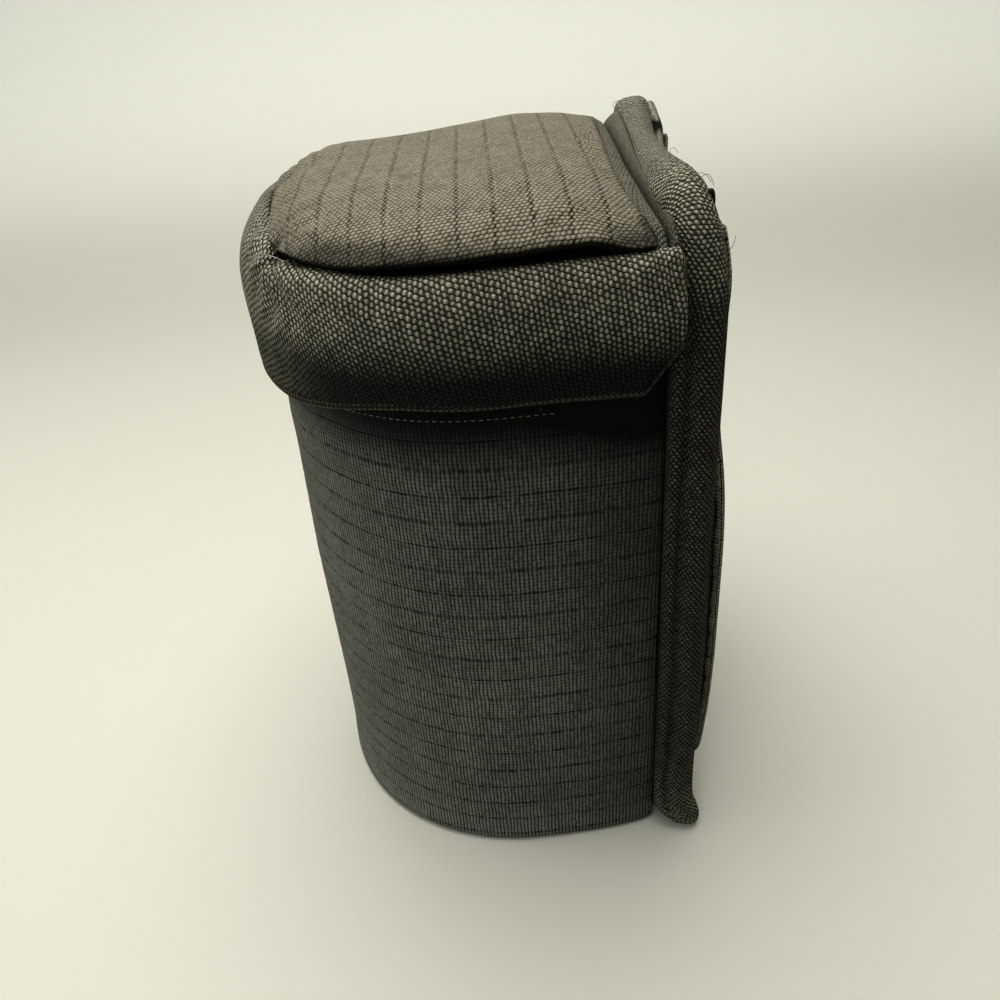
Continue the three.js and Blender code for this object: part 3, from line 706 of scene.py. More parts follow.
def lid_outline(n=900):
    """Polar tables of the top's outline about its middle: angles, radius and seam position."""
    us = np.linspace(0, 1, 1400)
    s = np.abs(arc_mm(us, SKIRT_REAR))
    x, y = plan_u(us, seam_off(s) - 0.25, SKIRT_TAPER, SKIRT_REAR)
    keep = y < back_y(x) - np.where(x > 0, 0.7, 2.6)
    x, y, s = x[keep], y[keep], s[keep]
    near_x, far_x = x.max(), x.min()
    ax = np.linspace(far_x + 2.2, near_x - 0.5, 120)
    px, py = np.concatenate([x, ax]), np.concatenate([y, back_y(ax)])
    ps = np.concatenate([s, np.full(len(ax), 103.0)])
    cy = Y0 + LID_CY
    ang = np.arctan2(py - cy, px)
    order = np.argsort(ang)
    th = np.linspace(-math.pi, math.pi, n + 1)
    look = lambda q: np.interp(th, ang[order], q[order], period=2 * math.pi)
    rad = look(np.hypot(px, py - cy))
    g = np.exp(-0.5 * (np.arange(-9, 10) / 3.0) ** 2)
    rad = np.convolve(np.concatenate([rad[-10:-1], rad, rad[1:10]]), g / g.sum(), "valid")
    return th, rad, look(ps)


LID_TH, LID_RAD, LID_S = lid_outline()


def far_rise(x, y):
    """The far front corner is stuffed harder and stands higher than the near one."""
    return 3.2 * smooth((-x - 8) / 14) * np.exp(-(((y + 33) / 10.5) ** 2))


def lid_edge(th):
    """Edge point, seam position, edge height and share of the rear for a direction."""
    r0 = np.interp(th, LID_TH, LID_RAD)
    s = np.interp(th, LID_TH, LID_S)
    ex, ey = r0 * np.cos(th), Y0 + LID_CY + r0 * np.sin(th)
    rear = smooth((ey - Y0 - 17.5) / 8)
    f = at_front(s)
    side = seam_up(s) + (1.75 + slot_gap(s) * 0.5) * (1 - f) + 0.75 * f
    side = side + far_rise(ex, ey)
    return r0, ex, ey, s, side * (1 - rear) + (rear_z(ex) + 0.25) * rear, rear, f


def lid_surface(t, th, off=0.0, drop=0.0):
    """The crowned top: t is 0 in the middle and 1 at the sewn edge."""
    r0, ex, ey, s, e, rear, f = lid_edge(th)
    r = (r0 + off) * t
    x, y = r * np.cos(th), Y0 + LID_CY + r * np.sin(th)
    top = top_at(y)
    p = 4.6 * (1 - rear) * (1 - f) + 3.4 * rear + 3.2 * f * (1 - rear)
    z = e + (top - e) * (1 - np.abs(t) ** p) - drop
    return x, y, z


def top_at(y):
    return TOP_Z - 0.9 - 2.4 * smooth((20 - (y - Y0)) / 32) + 0.9 * smooth((-y - 20) / 14) - 0.5 * smooth((y - 8) / 10)


nl = 110
t, th = square_disc(nl)
t = 1 - (1 - t) ** 1.18
x, y, z = lid_surface(t, th)
b = Build()
ia = b.grid(np.stack([x, y, z], -1), np.zeros((nl + 1, nl + 1, 2)))
# the sewn edge turns down and in, into the slot over the skirt
ring_th = border(th)
r0, ex, ey, rs, e, rear, fr = lid_edge(ring_th)
rings = [border(ia)]
SIDE_R = ((0.32, -0.42), (0.34, -0.85), (-0.05, -1.3), (-0.8, -1.6), (-2.0, -1.85), (-3.4, -2.9))
FRONT_R = ((-0.1, -0.25), (-0.35, -0.6), (-0.7, -1.0), (-1.1, -1.5), (-1.8, -2.2), (-3.0, -3.2))
REAR_R = ((0.12, -0.15), (0.1, -0.35), (-0.2, -0.6), (-0.7, -0.9), (-1.6, -1.3), (-3.0, -2.4))
for k in range(6):
    dr = (SIDE_R[k][0] * (1 - fr) + FRONT_R[k][0] * fr) * (1 - rear) + REAR_R[k][0] * rear
    dz = (SIDE_R[k][1] * (1 - fr) + FRONT_R[k][1] * fr) * (1 - rear) + REAR_R[k][1] * rear
    rr = r0 + dr
    rings.append(b.add(np.stack([rr * np.cos(ring_th), Y0 + LID_CY + rr * np.sin(ring_th), e + dz], -1)))
xb, yb, zb = lid_surface(np.minimum(t, 1) * 0.9, th, 0.0, 4.0)
_, _, _, _, eb, _, _ = lid_edge(th)
ib = b.grid(np.stack([xb, yb, np.maximum(np.minimum(zb, 150.2), eb - 3.2)], -1), np.zeros((nl + 1, nl + 1, 2)), flip=True)
rings.append(border(ib))
ids = np.stack([closed_ring(r) for r in rings])
b.link(ids[::-1], np.zeros((len(rings), ids.shape[1], 2)))
lid_top = b.object("lid_cushion", [rip_lid])
free = np.zeros(b.n)
free[ia.ravel()] = smooth((1 - t.ravel()) / 0.10)
rest_grid = np.stack([x, y, z], -1)
puff(lid_top, free, 3.0, 22, 0.00025, slack=0.03, bending=0.4)
c = coords(lid_top) / MM
G = c[ia.ravel()].reshape(nl + 1, nl + 1, 3)
# shallow unevenness, and the creases that run in from the pinched corners
s_x, s_y = G[..., 0], G[..., 1]
calm = smooth((1 - t) / 0.12)
G[..., 2] += calm * (wave(s_x / 13, s_y / 10, 11, 0.26) + wave(s_x / 5, s_y / 5, 12, 0.06))
G[..., 2] += calm * wave(s_x / 2.2, s_y / 2.4, 13, 0.028)
for cx, cy in CORNERS:
    d = np.hypot(s_x - cx, s_y - cy)
    a = np.arctan2(s_y - cy, s_x - cx)
    G[..., 2] -= 2.3 * np.exp(-((d / 2.3) ** 2)) + 0.5 * np.exp(-((d / 6.0) ** 2))
    G[..., 2] += 0.20 * np.sin(a * 8 + 0.6) * np.exp(-(((d - 5.5) / 4.5) ** 2)) * calm
# the front crease dips for a few millimetres on the top's side
_, _, _, es, _, erear, ef = lid_edge(th)
G[..., 2] -= 0.35 * ef * np.exp(-(((t - 0.985) / 0.03) ** 2))
c[ia.ravel()] = G.reshape(-1, 3)
set_coords(lid_top, c * MM)


def unroll(o, ia, rings, th):
    """Weave coordinates of the crowned top: distances are measured along the cloth from its middle."""
    c = coords(o) / MM
    n = ia.shape[0]
    P = rest_grid
    plan = np.hypot(P[..., 0], P[..., 1] - Y0 - LID_CY)
    ang = np.arctan2(P[..., 1] - Y0 - LID_CY, P[..., 0])
    ts = np.linspace(0, 1, 80)
    dirs = np.linspace(-math.pi, math.pi, 181)
    table, prof = np.zeros((181, 80)), np.zeros((181, 80))
    for k, a in enumerate(dirs):
        xx, yy, zz_ = lid_surface(ts, np.full_like(ts, a))
        rr = np.hypot(xx, yy - Y0 - LID_CY)
        table[k], prof[k] = np.concatenate([[0], np.cumsum(np.hypot(np.diff(rr), np.diff(zz_)))]), rr
    kk = (ang + math.pi) / (2 * math.pi) * 180
    k0 = np.clip(np.floor(kk).astype(int), 0, 179)
    f = kk - k0
    s = np.zeros_like(plan)
    for j in range(n):
        for q in range(n):
            a, bb = k0[j, q], k0[j, q] + 1
            s[j, q] = (1 - f[j, q]) * np.interp(plan[j, q], prof[a], table[a]) + f[j, q] * np.interp(plan[j, q], prof[bb], table[bb])
    grow = np.where(plan > 1e-6, s / np.maximum(plan, 1e-6), 1)
    uv = np.zeros((len(c), 2))
    uv[ia.ravel()] = np.stack([P[..., 0] * grow, (P[..., 1] - Y0 - LID_CY) * grow], -1).reshape(-1, 2)
    prev, prev_uv = c[rings[0]], uv[rings[0]]
    way = prev_uv / np.maximum(np.linalg.norm(prev_uv, axis=1, keepdims=True), 1e-6)
    total = np.zeros(len(prev))
    for r in rings[1:]:
        total = total + np.linalg.norm(c[r] - prev, axis=1)
        uv[r] = np.where(uv[r].any(1, keepdims=True), uv[r], prev_uv + way * total[:, None])
        prev = c[r]
    return uv


uv_v = unroll(lid_top, ia, rings, th)
me = lid_top.data
li = np.zeros(len(me.loops), np.int32)
me.loops.foreach_get("vertex_index", li)
me.uv_layers["weave"].data.foreach_set("uv", uv_v[li].astype(np.float32).ravel())
co = coords(lid_top) / MM
# painted light with some dust: the raised top of the lid is mixed towards the warm pale tint, as the lamp above lights
# it most
mark(lid_top, "dust_and_painted_light", 0.75 * smooth((co[:, 2] - 145.5) / 4.5))
# painted shade: darker along the rear seam, on the low near edge, in the pinched corners and all over the rings that
# turn down into the slot
at_rear = np.abs(co[:, 1] - back_y(co[:, 0]))
painted_shade_mask = 0.85 * np.exp(-((at_rear / 0.45) ** 2)) + 0.7 * smooth((148.2 - co[:, 2]) / 2.0) * smooth((co[:, 0] - 30) / 8)
for cx, cy in CORNERS:
    painted_shade_mask = painted_shade_mask + 0.9 * np.exp(-((np.hypot(co[:, 0] - cx, co[:, 1] - cy) / 1.7) ** 2))
painted_shade_mask[np.concatenate([np.asarray(r).ravel() for r in rings[2:]])] = 1.0
mark(lid_top, "painted_shade", np.clip(painted_shade_mask, 0, 1))
subdivide(lid_top)
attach(lid_top, "lid")
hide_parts("lid_top_outer", "lid_top_foam")


# ---- lid: skirt -----------------------------------------------------------------------------
def cut_at(y):
    return np.clip((y - 26.4) / 6.2, 0, 1)


def hem_z(y):
    return HEM_SIDE - HEM_DROP * smooth((-14 - y) / 28) + HEM_CUT * cut_at(y)


def hem_at(u):
    return hem_z(plan_u(u, 3, SKIRT_TAPER, SKIRT_REAR)[1] - Y0)


def skirt_lines(u):
    """Control points of the skirt's section for each u: offset and height, from the hem up and over."""
    s = arc_mm(u, SKIRT_REAR)
    f = at_front(s)
    z0, zs, so = hem_at(u), seam_up(np.abs(s)), seam_off(np.abs(s))
    low = zs - slot_gap(np.abs(s)) * 0.5
    h = zs - z0
    k = cut_at(plan_u(u, 3, SKIRT_TAPER, SKIRT_REAR)[1] - Y0)
    F = smooth((62 - np.abs(s)) / 34)
    o, z = [], []
    for side_o, front_o, side_f, front_f, cut_o in (
            (2.3, 2.35, 0.04, 0.035, 1.6), (3.3, 2.65, 0.11, 0.11, 1.1), (4.35, 2.7, 0.28, 0.28, 0.5), (4.9, 2.9, 0.5, 0.48, 0.0),
            (4.8, 2.5, 0.73, 0.67, 0.0)):
        o.append(side_o * (1 - F) + front_o * F + cut_o * k)
        z.append(z0 + h * (side_f * (1 - F) + front_f * F))
    for (so_, sz_), (fo_, fz_) in (((1.8, -2.9), (6.3, -4.8)), ((0.95, -1.1), (3.3, -0.8)), ((-0.1, -0.4), (1.5, 0.75)),
                                   ((-1.5, -0.6), (0.25, 0.35)), ((-3.0, -2.2), (-0.7, -1.4))):
        o.append(so + so_ * (1 - f) + fo_ * f)
        xs_, ys_ = plan_u(u, so, SKIRT_TAPER, SKIRT_REAR)
        z.append(low * (1 - f) + zs * f + sz_ * (1 - f) + fz_ * f + far_rise(xs_, ys_) * (1.0 if fz_ > -4 else 0.55))
    return np.array(o), np.array(z)


def along(ctrl, q):
    """Smooth line through control rows at the positions q (0..1)."""
    n = len(ctrl) - 1
    k = np.minimum((q * n).astype(int), n - 1)
    f = (q * n - k)[:, None]
    g = lambda j: ctrl[np.clip(j, 0, n)]
    p0, p1, p2, p3 = g(k - 1), g(k), g(k + 1), g(k + 2)
    return 0.5 * (2 * p1 + (p2 - p0) * f + (2 * p0 - 5 * p1 + 4 * p2 - p3) * f**2 + (3 * p1 - p0 - 3 * p2 + p3) * f**3)


nu, nw = 330, 54
us = np.linspace(0, 1, nu + 1)
co_, cz_ = skirt_lines(us)
q = np.linspace(0, 1, nw + 1)
off, Z = along(co_, q), along(cz_, q)
US, WS = np.meshgrid(us, q)
S_ = arc_mm(US, SKIRT_REAR)
end = np.minimum(US, 1 - US) * (2 * SKIRT_REAR + math.pi * R)
tuck = 1.0 * (1 - np.sqrt(np.clip(1 - (1 - np.clip(end / 1.3, 0, 1)) ** 2, 0, 1)))
x, y = plan_u(US, off - tuck, SKIRT_TAPER, SKIRT_REAR)
y = y - 1.3 * smooth((Z - 134) / 9) * smooth(1 - end / 7) * (x > 0)
SK = np.stack([x, y, Z], -1)
b = Build()
prof = np.concatenate([np.zeros((1, nu + 1)), np.cumsum(np.linalg.norm(np.diff(SK, axis=0), axis=-1), 0)])
prof = prof - prof[-1:]
UVS = np.stack([S_ * (1 + 3.5 / R * 0.75), prof], -1)
io = b.grid(SK, UVS)
# inner side of the padding, which the lining covers
wi = np.linspace(0.0, 1.0, 12)
UI, WI = np.meshgrid(us, wi)
zi0 = hem_at(UI)
hi = seam_up(np.abs(arc_mm(UI, SKIRT_REAR))) - zi0
fi_ = at_front(arc_mm(UI, SKIRT_REAR))
top_share = 0.82 * (1 - fi_) + 0.64 * fi_
lo = 2.0 / hi
xi, yi = plan_u(UI, SKIRT_IN + 0.78 - 0.2 * fi_, SKIRT_TAPER, SKIRT_REAR)
ii = b.grid(np.stack([xi, yi, zi0 + hi * (lo + (top_share - lo) * WI)], -1), np.stack([arc_mm(UI, SKIRT_REAR), WI * 22], -1), flip=True)
topv = UVS[-1, :, 1]
b.link(np.stack([io[-1], ii[-1]]), np.stack([UVS[-1], UVS[-1] + (0, 2.0)]))
b.link(np.stack([ii[0], io[0]]), np.stack([UVS[0] - (0, 1.0), UVS[0]]))
skirt = b.object("lid_skirt", [bias])
bm = bmesh.new()
bm.from_mesh(skirt.data)
bmesh.ops.holes_fill(bm, edges=[e for e in bm.edges if e.is_boundary], sides=0)
bmesh.ops.triangulate(bm, faces=[f for f in bm.faces if len(f.verts) > 4])
bmesh.ops.recalc_face_normals(bm, faces=bm.faces)
bm.to_mesh(skirt.data)
bm.free()
ends = smooth((end - 0.4) / 3)
hold = smooth(WS / 0.07) * smooth((0.93 - WS) / 0.10) * ends
free = np.zeros(b.n)
free[io.ravel()] = hold.ravel()
puff(skirt, free, 3.0, 20, 0.00022, slack=0.035, bending=0.25)
c = coords(skirt) / MM
P = c[io.ravel()].reshape(nw + 1, nu + 1, 3)
soft_hold = smooth(WS / 0.07) * smooth((1.0 - WS) / 0.10) * ends
puffy = wave(S_ / 12, P[..., 2] / 9, 21, 0.34) + wave(S_ / 4.5, P[..., 2] / 5, 22, 0.10) + wave(S_ / 1.9, P[..., 2] / 2.1, 23, 0.03)
# creases gather towards the pinched corners, and slanted ones cross the rounded front corner
for side_, turn_ in ((-1, 1), (1, -1)):
    ds, dz = S_ - side_ * 30.5, P[..., 2] - 143.8
    d, a = np.hypot(ds, dz), np.arctan2(dz, ds * turn_)
    puffy = puffy + 0.26 * np.sin(a * 9 + 0.8) * np.exp(-(((d - 6) / 5.0) ** 2)) - 1.4 * np.exp(-((d / 2.3) ** 2))
    near = np.exp(-((ds / 12) ** 2)) * smooth((P[..., 2] - 121) / 8)
    puffy = puffy + 0.15 * near * np.sin((ds * 0.75 + dz * 0.62) * 1.25)
nrm = np.cross(np.gradient(P, axis=1), np.gradient(P, axis=0))
nrm /= np.maximum(np.linalg.norm(nrm, axis=-1, keepdims=True), 1e-9)
if (nrm[10, :, :2] * np.stack([P[10, :, 0], P[10, :, 1] - Y0], -1)).sum() < 0:
    nrm = -nrm
P += nrm * (puffy * soft_hold)[..., None]
c[io.ravel()] = P.reshape(-1, 3)
set_coords(skirt, c * MM)
co = coords(skirt) / MM
# painted light with some dust: the skirt's upper bulge, lit from above, is mixed towards the pale tint
mark(skirt, "dust_and_painted_light", 0.55 * smooth((co[:, 2] - 134) / 9) + 0.05)
# painted shade: the skirt darkens below its bulge (less towards the front side), in the groove under the top and in the
# pinched corners
painted_shade_mask = np.clip(1.0 * smooth((136.5 - co[:, 2]) / 11.5) - 0.4 * smooth((-co[:, 1] - 24) / 16), 0, 1)
pit = smooth((WS - 0.87) / 0.07)
for side_ in (-1, 1):
    pit = pit + 0.9 * np.exp(-((np.hypot(S_ - side_ * 30.5, P[..., 2] - 143.8) / 1.8) ** 2))
painted_shade_mask[io.ravel()] += pit.ravel()
mark(skirt, "painted_shade", np.clip(painted_shade_mask, 0, 1))
subdivide(skirt)
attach(skirt, "lid")
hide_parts("skirt_outer", "skirt_foam")

# hem: the outer cloth folded under along the lower edge
nh = 460
uh = np.linspace(0, 1, nh + 1)
hem_u = plan_u(uh, 3, SKIRT_TAPER, SKIRT_REAR)[1] - Y0
lift = 1.5 * cut_at(hem_u)
sh = arc_mm(uh, SKIRT_REAR)
fh = at_front(sh)
HX, ring_n = [], 14
for k in range(ring_n):
    a = 2 * math.pi * k / ring_n
    o_ = 2.05 + 0.55 * math.cos(a) + 0.18 * math.sin(a) + lift
    z_ = 0.85 + 0.85 * math.sin(a)
    xx, yy = plan_u(uh, o_ - 0.1 * fh + wave(sh / 5.0, 0 * sh + 2, 31, 0.10), SKIRT_TAPER, SKIRT_REAR)
    HX.append(np.stack([xx, yy, hem_at(uh) + z_ + wave(sh / 7.0, 0 * sh, 32, 0.14)], -1))
HX = np.array(HX)
for col, other in ((0, 1), (nh, nh - 1)):
    HX[:, col] = HX[:, col].mean(0) + (HX[:, col] - HX[:, col].mean(0)) * 0.15
b = Build()
ids = b.add(HX).reshape(ring_n, nh + 1)
uvh = np.stack([np.stack([sh, np.full_like(uh, k * 0.32)], -1) for k in range(ring_n + 1)])
b.link(closed_ring(ids), uvh)
hem = b.object("skirt_hem_roll", [hem_cloth])
mark(hem, "dust_and_painted_light", np.full(len(hem.data.vertices), 0.35))
# painted shade: most of the hem roll is darkened, as it lies under the skirt; its lowest ring gets an uneven, lighter
# share
low_ring = np.repeat(np.sin(2 * math.pi * np.arange(ring_n) / ring_n) < -0.75, nh + 1)
low_ring_shade = np.tile(np.clip(0.5 + wave(sh / 9, 0 * sh + 1, 33, 0.55), 0.1, 0.92), ring_n)
mark(hem, "painted_shade", np.where(low_ring, low_ring_shade, 0.90))
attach(hem, "lid")
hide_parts("skirt_hem")

# ---- back panel -----------------------------------------------------------------------------
def dip(x):
    return PANEL_DIP * smooth((31 - np.abs(x)) / 22)


def panel_path(step=1.0):
    """The panel's outline at offset 0: x, z, and the outward normal, anticlockwise from the right bottom corner."""
    hw, zb, P = PANEL_HALF, 0.2, []

    def arc_(cx, cz, r, a0, a1):
        n = max(6, int(abs(a1 - a0) * r / (step * 0.6)))
        for k in range(n + 1):
            a = a0 + (a1 - a0) * k / n
            P.append((cx + r * math.cos(a), cz + r * math.sin(a), math.cos(a), math.sin(a)))

    def line_(x0, z0_, x1, z1, nx_, nz_):
        n = int(math.hypot(x1 - x0, z1 - z0_) / step)
        for k in range(1, n):
            f = k / n
            P.append((x0 + (x1 - x0) * f, z0_ + (z1 - z0_) * f, nx_, nz_))

    q = math.pi / 2
    arc_(hw - PANEL_RB, zb + PANEL_RB, PANEL_RB, -q, 0)
    line_(hw, zb + PANEL_RB, hw, PANEL_TOP - PANEL_RT, 1, 0)
    arc_(hw - PANEL_RT, PANEL_TOP - PANEL_RT, PANEL_RT, 0, q)
    line_(hw - PANEL_RT, PANEL_TOP, -hw + PANEL_RT, PANEL_TOP, 0, 1)
    arc_(-hw + PANEL_RT, PANEL_TOP - PANEL_RT, PANEL_RT, q, 2 * q)
    line_(-hw, PANEL_TOP - PANEL_RT, -hw, zb + PANEL_RB, -1, 0)
    arc_(-hw + PANEL_RB, zb + PANEL_RB, PANEL_RB, 2 * q, 3 * q)
    line_(-hw + PANEL_RB, zb, hw - PANEL_RB, zb, 0, -1)
    return np.array(P)


PATH = panel_path()
path_s = np.concatenate([[0], np.cumsum(np.hypot(*np.diff(PATH[:, :2], axis=0).T))])


# the panel's sewn top leans: its near ear towards the lid, its far ear away from it
lean_x = curve([-48, -38, -30, -10, 10, 22, 30, 36, 40, 48], [2.1, 1.9, 1.3, -0.3, -1.7, -1.9, -1.6, -1.1, -0.5, 0.0], 2.0)
thin_x = curve([-48, -38, -28, -16, 0, 8, 16, 30, 40, 48], [0.15, 0.16, 0.21, 0.30, 0.28, 0.20, 0.15, 0.14, 0.25, 0.42], 2.0)


def deep(y, x, z):
    k = np.clip((z - 132) / 19, 0, 1.1)
    return Y0 + PY + lean_x(x) * smooth((z - 134) / 14) + y * (1 - thin_x(x) * k**2.1)


def spline_set(lists, per=7):
    """Closed smooth lines through several lists of points, cut at the same places."""
    lists = [np.array(A, float) for A in lists]
    n, out = len(lists[0]), []
    for k in range(n):
        m = int(np.clip(round(max(np.linalg.norm(A[(k + 1) % n] - A[k]) for A in lists) / 0.38), 1, per))
        for j in range(m):
            f = j / m
            row = []
            for P in lists:
                p0, p1, p2, p3 = P[k - 1], P[k], P[(k + 1) % n], P[(k + 2) % n]
                row.append(0.5 * (2 * p1 + (p2 - p0) * f + (2 * p0 - 5 * p1 + 4 * p2 - p3) * f**2 + (3 * p1 - p0 - 3 * p2 + p3) * f**3))
            out.append(row)
    out = np.array(out)
    return [out[:, k] for k in range(len(lists))]


SIDE_SEC = [(-7, 0.05), (-4.2, 0.0), (-2.0, -0.1), (-0.75, -0.05), (0.05, 0.45), (0.35, 1.2), (0.2, 2.0), (-0.75, 2.75), (-0.15, 3.3),
            (0.75, 4.1), (1.3, 5.3), (1.3, 6.7), (0.6, 8.0), (-0.7, 9.0), (-2.6, 9.55), (-5.0, 9.45),
            (-7, 9.3), (-7, 8.8), (-4.5, 8.75), (-4.45, 4.8), (-4.5, 0.95), (-7, 0.9)]
TOP_SEC = [(-7, 0.05), (-5.6, 0.0), (-4.2, 0.1), (-3.1, 0.35), (-2.1, 0.85), (-1.3, 1.45), (-0.6, 2.15), (-0.05, 2.95), (0.3, 3.8),
           (0.5, 4.7), (0.45, 5.7), (0.1, 6.8), (-0.6, 7.9), (-1.7, 8.9), (-3.2, 9.45), (-5.0, 9.45),
           (-7, 9.3), (-7, 8.8), (-5.0, 8.75), (-4.9, 4.8), (-5.0, 0.95), (-7, 0.9)]
FAR_SEC = [(-7, 0.05), (-5.6, 0.0), (-4.4, -0.05), (-3.2, -0.1), (-1.9, 0.0), (-0.9, 0.3), (-0.25, 0.95), (0.1, 1.9), (0.3, 3.1),
           (0.4, 4.6), (0.4, 6.0), (0.25, 7.4), (-0.2, 8.6), (-1.1, 9.3), (-3.0, 9.5), (-5.0, 9.45),
           (-7, 9.3), (-7, 8.8), (-5.0, 8.75), (-4.9, 4.8), (-5.0, 0.95), (-7, 0.9)]
LOW_SEC = [(-7, 0.05), (-4.2, 0.0), (-2.0, -0.1), (-0.7, 0.0), (0.15, 0.5), (0.6, 1.3), (0.9, 2.1), (1.0, 2.9), (1.15, 3.6),
           (1.3, 4.4), (1.45, 5.5), (1.4, 6.8), (0.75, 8.1), (-0.6, 9.1), (-2.6, 9.6), (-5.0, 9.45),
           (-7, 9.3), (-7, 8.8), (-4.5, 8.75), (-4.45, 4.8), (-4.5, 0.95), (-7, 0.9)]
SEC, SEC_T, SEC_F, SEC_L = spline_set((SIDE_SEC, TOP_SEC, FAR_SEC, LOW_SEC))
ns = len(SEC)
sec_s = np.concatenate([[0], np.cumsum(np.linalg.norm(np.diff(np.concatenate([SEC, SEC[:1]]), axis=0), axis=1))])
pz = PATH[:, 1]
TOPW = smooth((pz - 130) / 13)
BOTW = smooth((16 - pz) / 14) * smooth((np.abs(PATH[:, 0]) - 30) / 8)
FARW = smooth((-PATH[:, 0] - 25) / 9)
ear = smooth((pz - 128) / 10) * np.exp(-(((np.abs(PATH[:, 0]) - 34) / 12) ** 2))
cols = []
for k in range(ns):
    top_o = SEC_T[k, 0] * (1 - FARW) + SEC_F[k, 0] * FARW
    top_d = SEC_T[k, 1] * (1 - FARW) + SEC_F[k, 1] * FARW
    o_ = SEC[k, 0] * (1 - TOPW - BOTW) + top_o * TOPW + SEC_L[k, 0] * BOTW
    d_ = SEC[k, 1] * (1 - TOPW - BOTW) + top_d * TOPW + SEC_L[k, 1] * BOTW
    side = smooth((o_ + 3.8) / 2.2)
    uneven = side * (wave(path_s / 13, d_ / 4, 41, 0.30) + wave(path_s / 4.2, d_ / 2.5, 42, 0.10) + wave(path_s / 1.9, d_ / 1.6, 44, 0.035))
    ribs = side * ear * 0.13 * np.sin(path_s * 2.9 + d_ * 0.9 + 0.6 * np.sin(path_s * 0.7))
    # the closed lower corners hang a little fuller
    hang = side * BOTW * 0.55
    x_, z_, a, c_ = PATH.T
    low = (z_ < 0.2 + PANEL_RB) & (np.abs(a) > 1e-9) & (np.abs(c_) > 1e-9)
    o = np.where(low, np.maximum(o_, -PANEL_RB + 0.3), o_)
    qx, qz = x_ + a * o, z_ + c_ * o
    extra = np.maximum(PANEL_RB - 0.3 + o_, -99)
    sel = low & (o_ < -PANEL_RB + 0.3)
    qx = np.where(sel, qx + np.sign(a) * extra, qx)
    qz = np.where(sel, qz - extra, qz)
    qz = qz - np.where(z_ > 134, dip(qx) * smooth((z_ - 134) / 12), 0)
    qx = qx + a * (uneven + ribs + hang)
    qz = qz + c_ * (uneven + ribs + hang) * np.where(c_ < -0.5, 0.0, 1.0)
    dd = d_ + side * (wave(path_s / 17, 3.0 + 0 * path_s, 43, 0.25) + BOTW * 0.35 * smooth((d_ - 4) / 4))
    # the roll narrows above the lower corner, and its end swings to the rear and lifts at the front
    at_end = smooth((np.abs(qx) - 33) / 7) * side
    share = np.clip(d_ / 9.4, 0, 1)
    swing = smooth((9.5 - qz) / 8.5) * at_end * (3.4 * (1 - share) + 1.7 * share)
    slim = 2.1 * np.exp(-(((qz - 17) / 6) ** 2)) * at_end * share
    rise = 2.6 * smooth((6 - qz) / 6) * at_end * smooth((2.6 - d_) / 2.6)
    cols.append(np.stack([qx, deep(dd, qx, qz) + swing - slim, np.maximum(qz + rise, 0.02)], -1))
cols = np.array(cols)
b = Build()
ids = b.add(cols).reshape(ns, len(PATH))
ids = np.concatenate([ids, ids[:, :1]], 1)
ids = closed_ring(ids)
full = np.append(path_s, path_s[-1] + 1.0)
round_s = np.concatenate([np.zeros((1, len(PATH))), np.cumsum(np.linalg.norm(np.diff(np.concatenate([cols, cols[:1]]), axis=0), axis=-1), 0)])
round_s = np.concatenate([round_s, round_s[:, :1]], 1)
UVB = np.stack([np.stack([full + 0.05 * round_s[k], round_s[k]], -1) for k in range(ns + 1)])
b.link(ids, UVB)
binding = b.object("back_binding_roll", [bind])
co = coords(binding) / MM
# painted light with some dust on the binding's top, which the lamp above lights most; painted shade on the roll below
# the top, fading out near the base
mark(binding, "dust_and_painted_light", 0.80 * smooth((co[:, 2] - 142) / 7) + 0.10 * smooth((30 - co[:, 2]) / 26) + 0.03)
mark(binding, "painted_shade", 0.70 * smooth((141 - co[:, 2]) / 8) * smooth((co[:, 2] + 10) / 40))
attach(binding, "pouch")
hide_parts("back_binding")


def panel_grid(inset, nx_=70, nz_=120):
    """A full-height plate inside the binding."""
    w_, zb, zt, r = PANEL_HALF - inset, 0.2 + inset, PANEL_TOP - inset, PANEL_RT - inset
    zs = np.concatenate([np.linspace(zb, zt - r, nz_), zt - r + r * np.sin(np.linspace(0, 1.5, 24)[1:])])
    half = np.where(zs > zt - r, w_ - r + np.sqrt(np.maximum(r * r - (zs - zt + r) ** 2, 0)), w_)
    half = np.where(zs < zb + 0.5, half - 0.4, half)
    u_ = np.linspace(-1, 1, nx_ + 1)
    X, Zq = half[:, None] * u_[None, :], np.repeat(zs[:, None], nx_ + 1, 1)
    return X, Zq - dip(X) * smooth((Zq - 134) / 12)


X, Zq = panel_grid(4.75)
inside = smooth((38.9 - np.abs(X)) / 9) * smooth((Zq - 5) / 9) * smooth((148 - Zq) / 9)
crown = 0.75 * inside + inside * (wave(X / 16, Zq / 18, 51, 0.16) + wave(X / 5, Zq / 6, 53, 0.05))
uvp = np.stack([X, Zq], -1)
b = Build()
shell(b, np.stack([X, deep(8.3 + crown, X, Zq), Zq], -1), np.stack([X, deep(7.45, X, Zq), Zq], -1), uvp)
panel_back = b.object("panel_back_cloth", [rip_back])
mark(panel_back, "dust_and_painted_light", np.full(len(panel_back.data.vertices), 0.1))
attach(panel_back, "pouch")
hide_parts("back_outer")

b = Build()
dent = inside * (0.45 + wave(X / 14, Zq / 15, 52, 0.25) + wave(X / 5, Zq / 7, 54, 0.06))
shell(b, np.stack([X, deep(1.9, X, Zq), Zq], -1), np.stack([X, deep(1.3, X, Zq) - dent, Zq], -1), uvp)
panel_lining = b.object("panel_lining_cloth", [lining_cloth])
mark(panel_lining, "dust_and_painted_light", np.zeros(len(panel_lining.data.vertices)))
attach(panel_lining, "pouch")
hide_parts("back_lining")

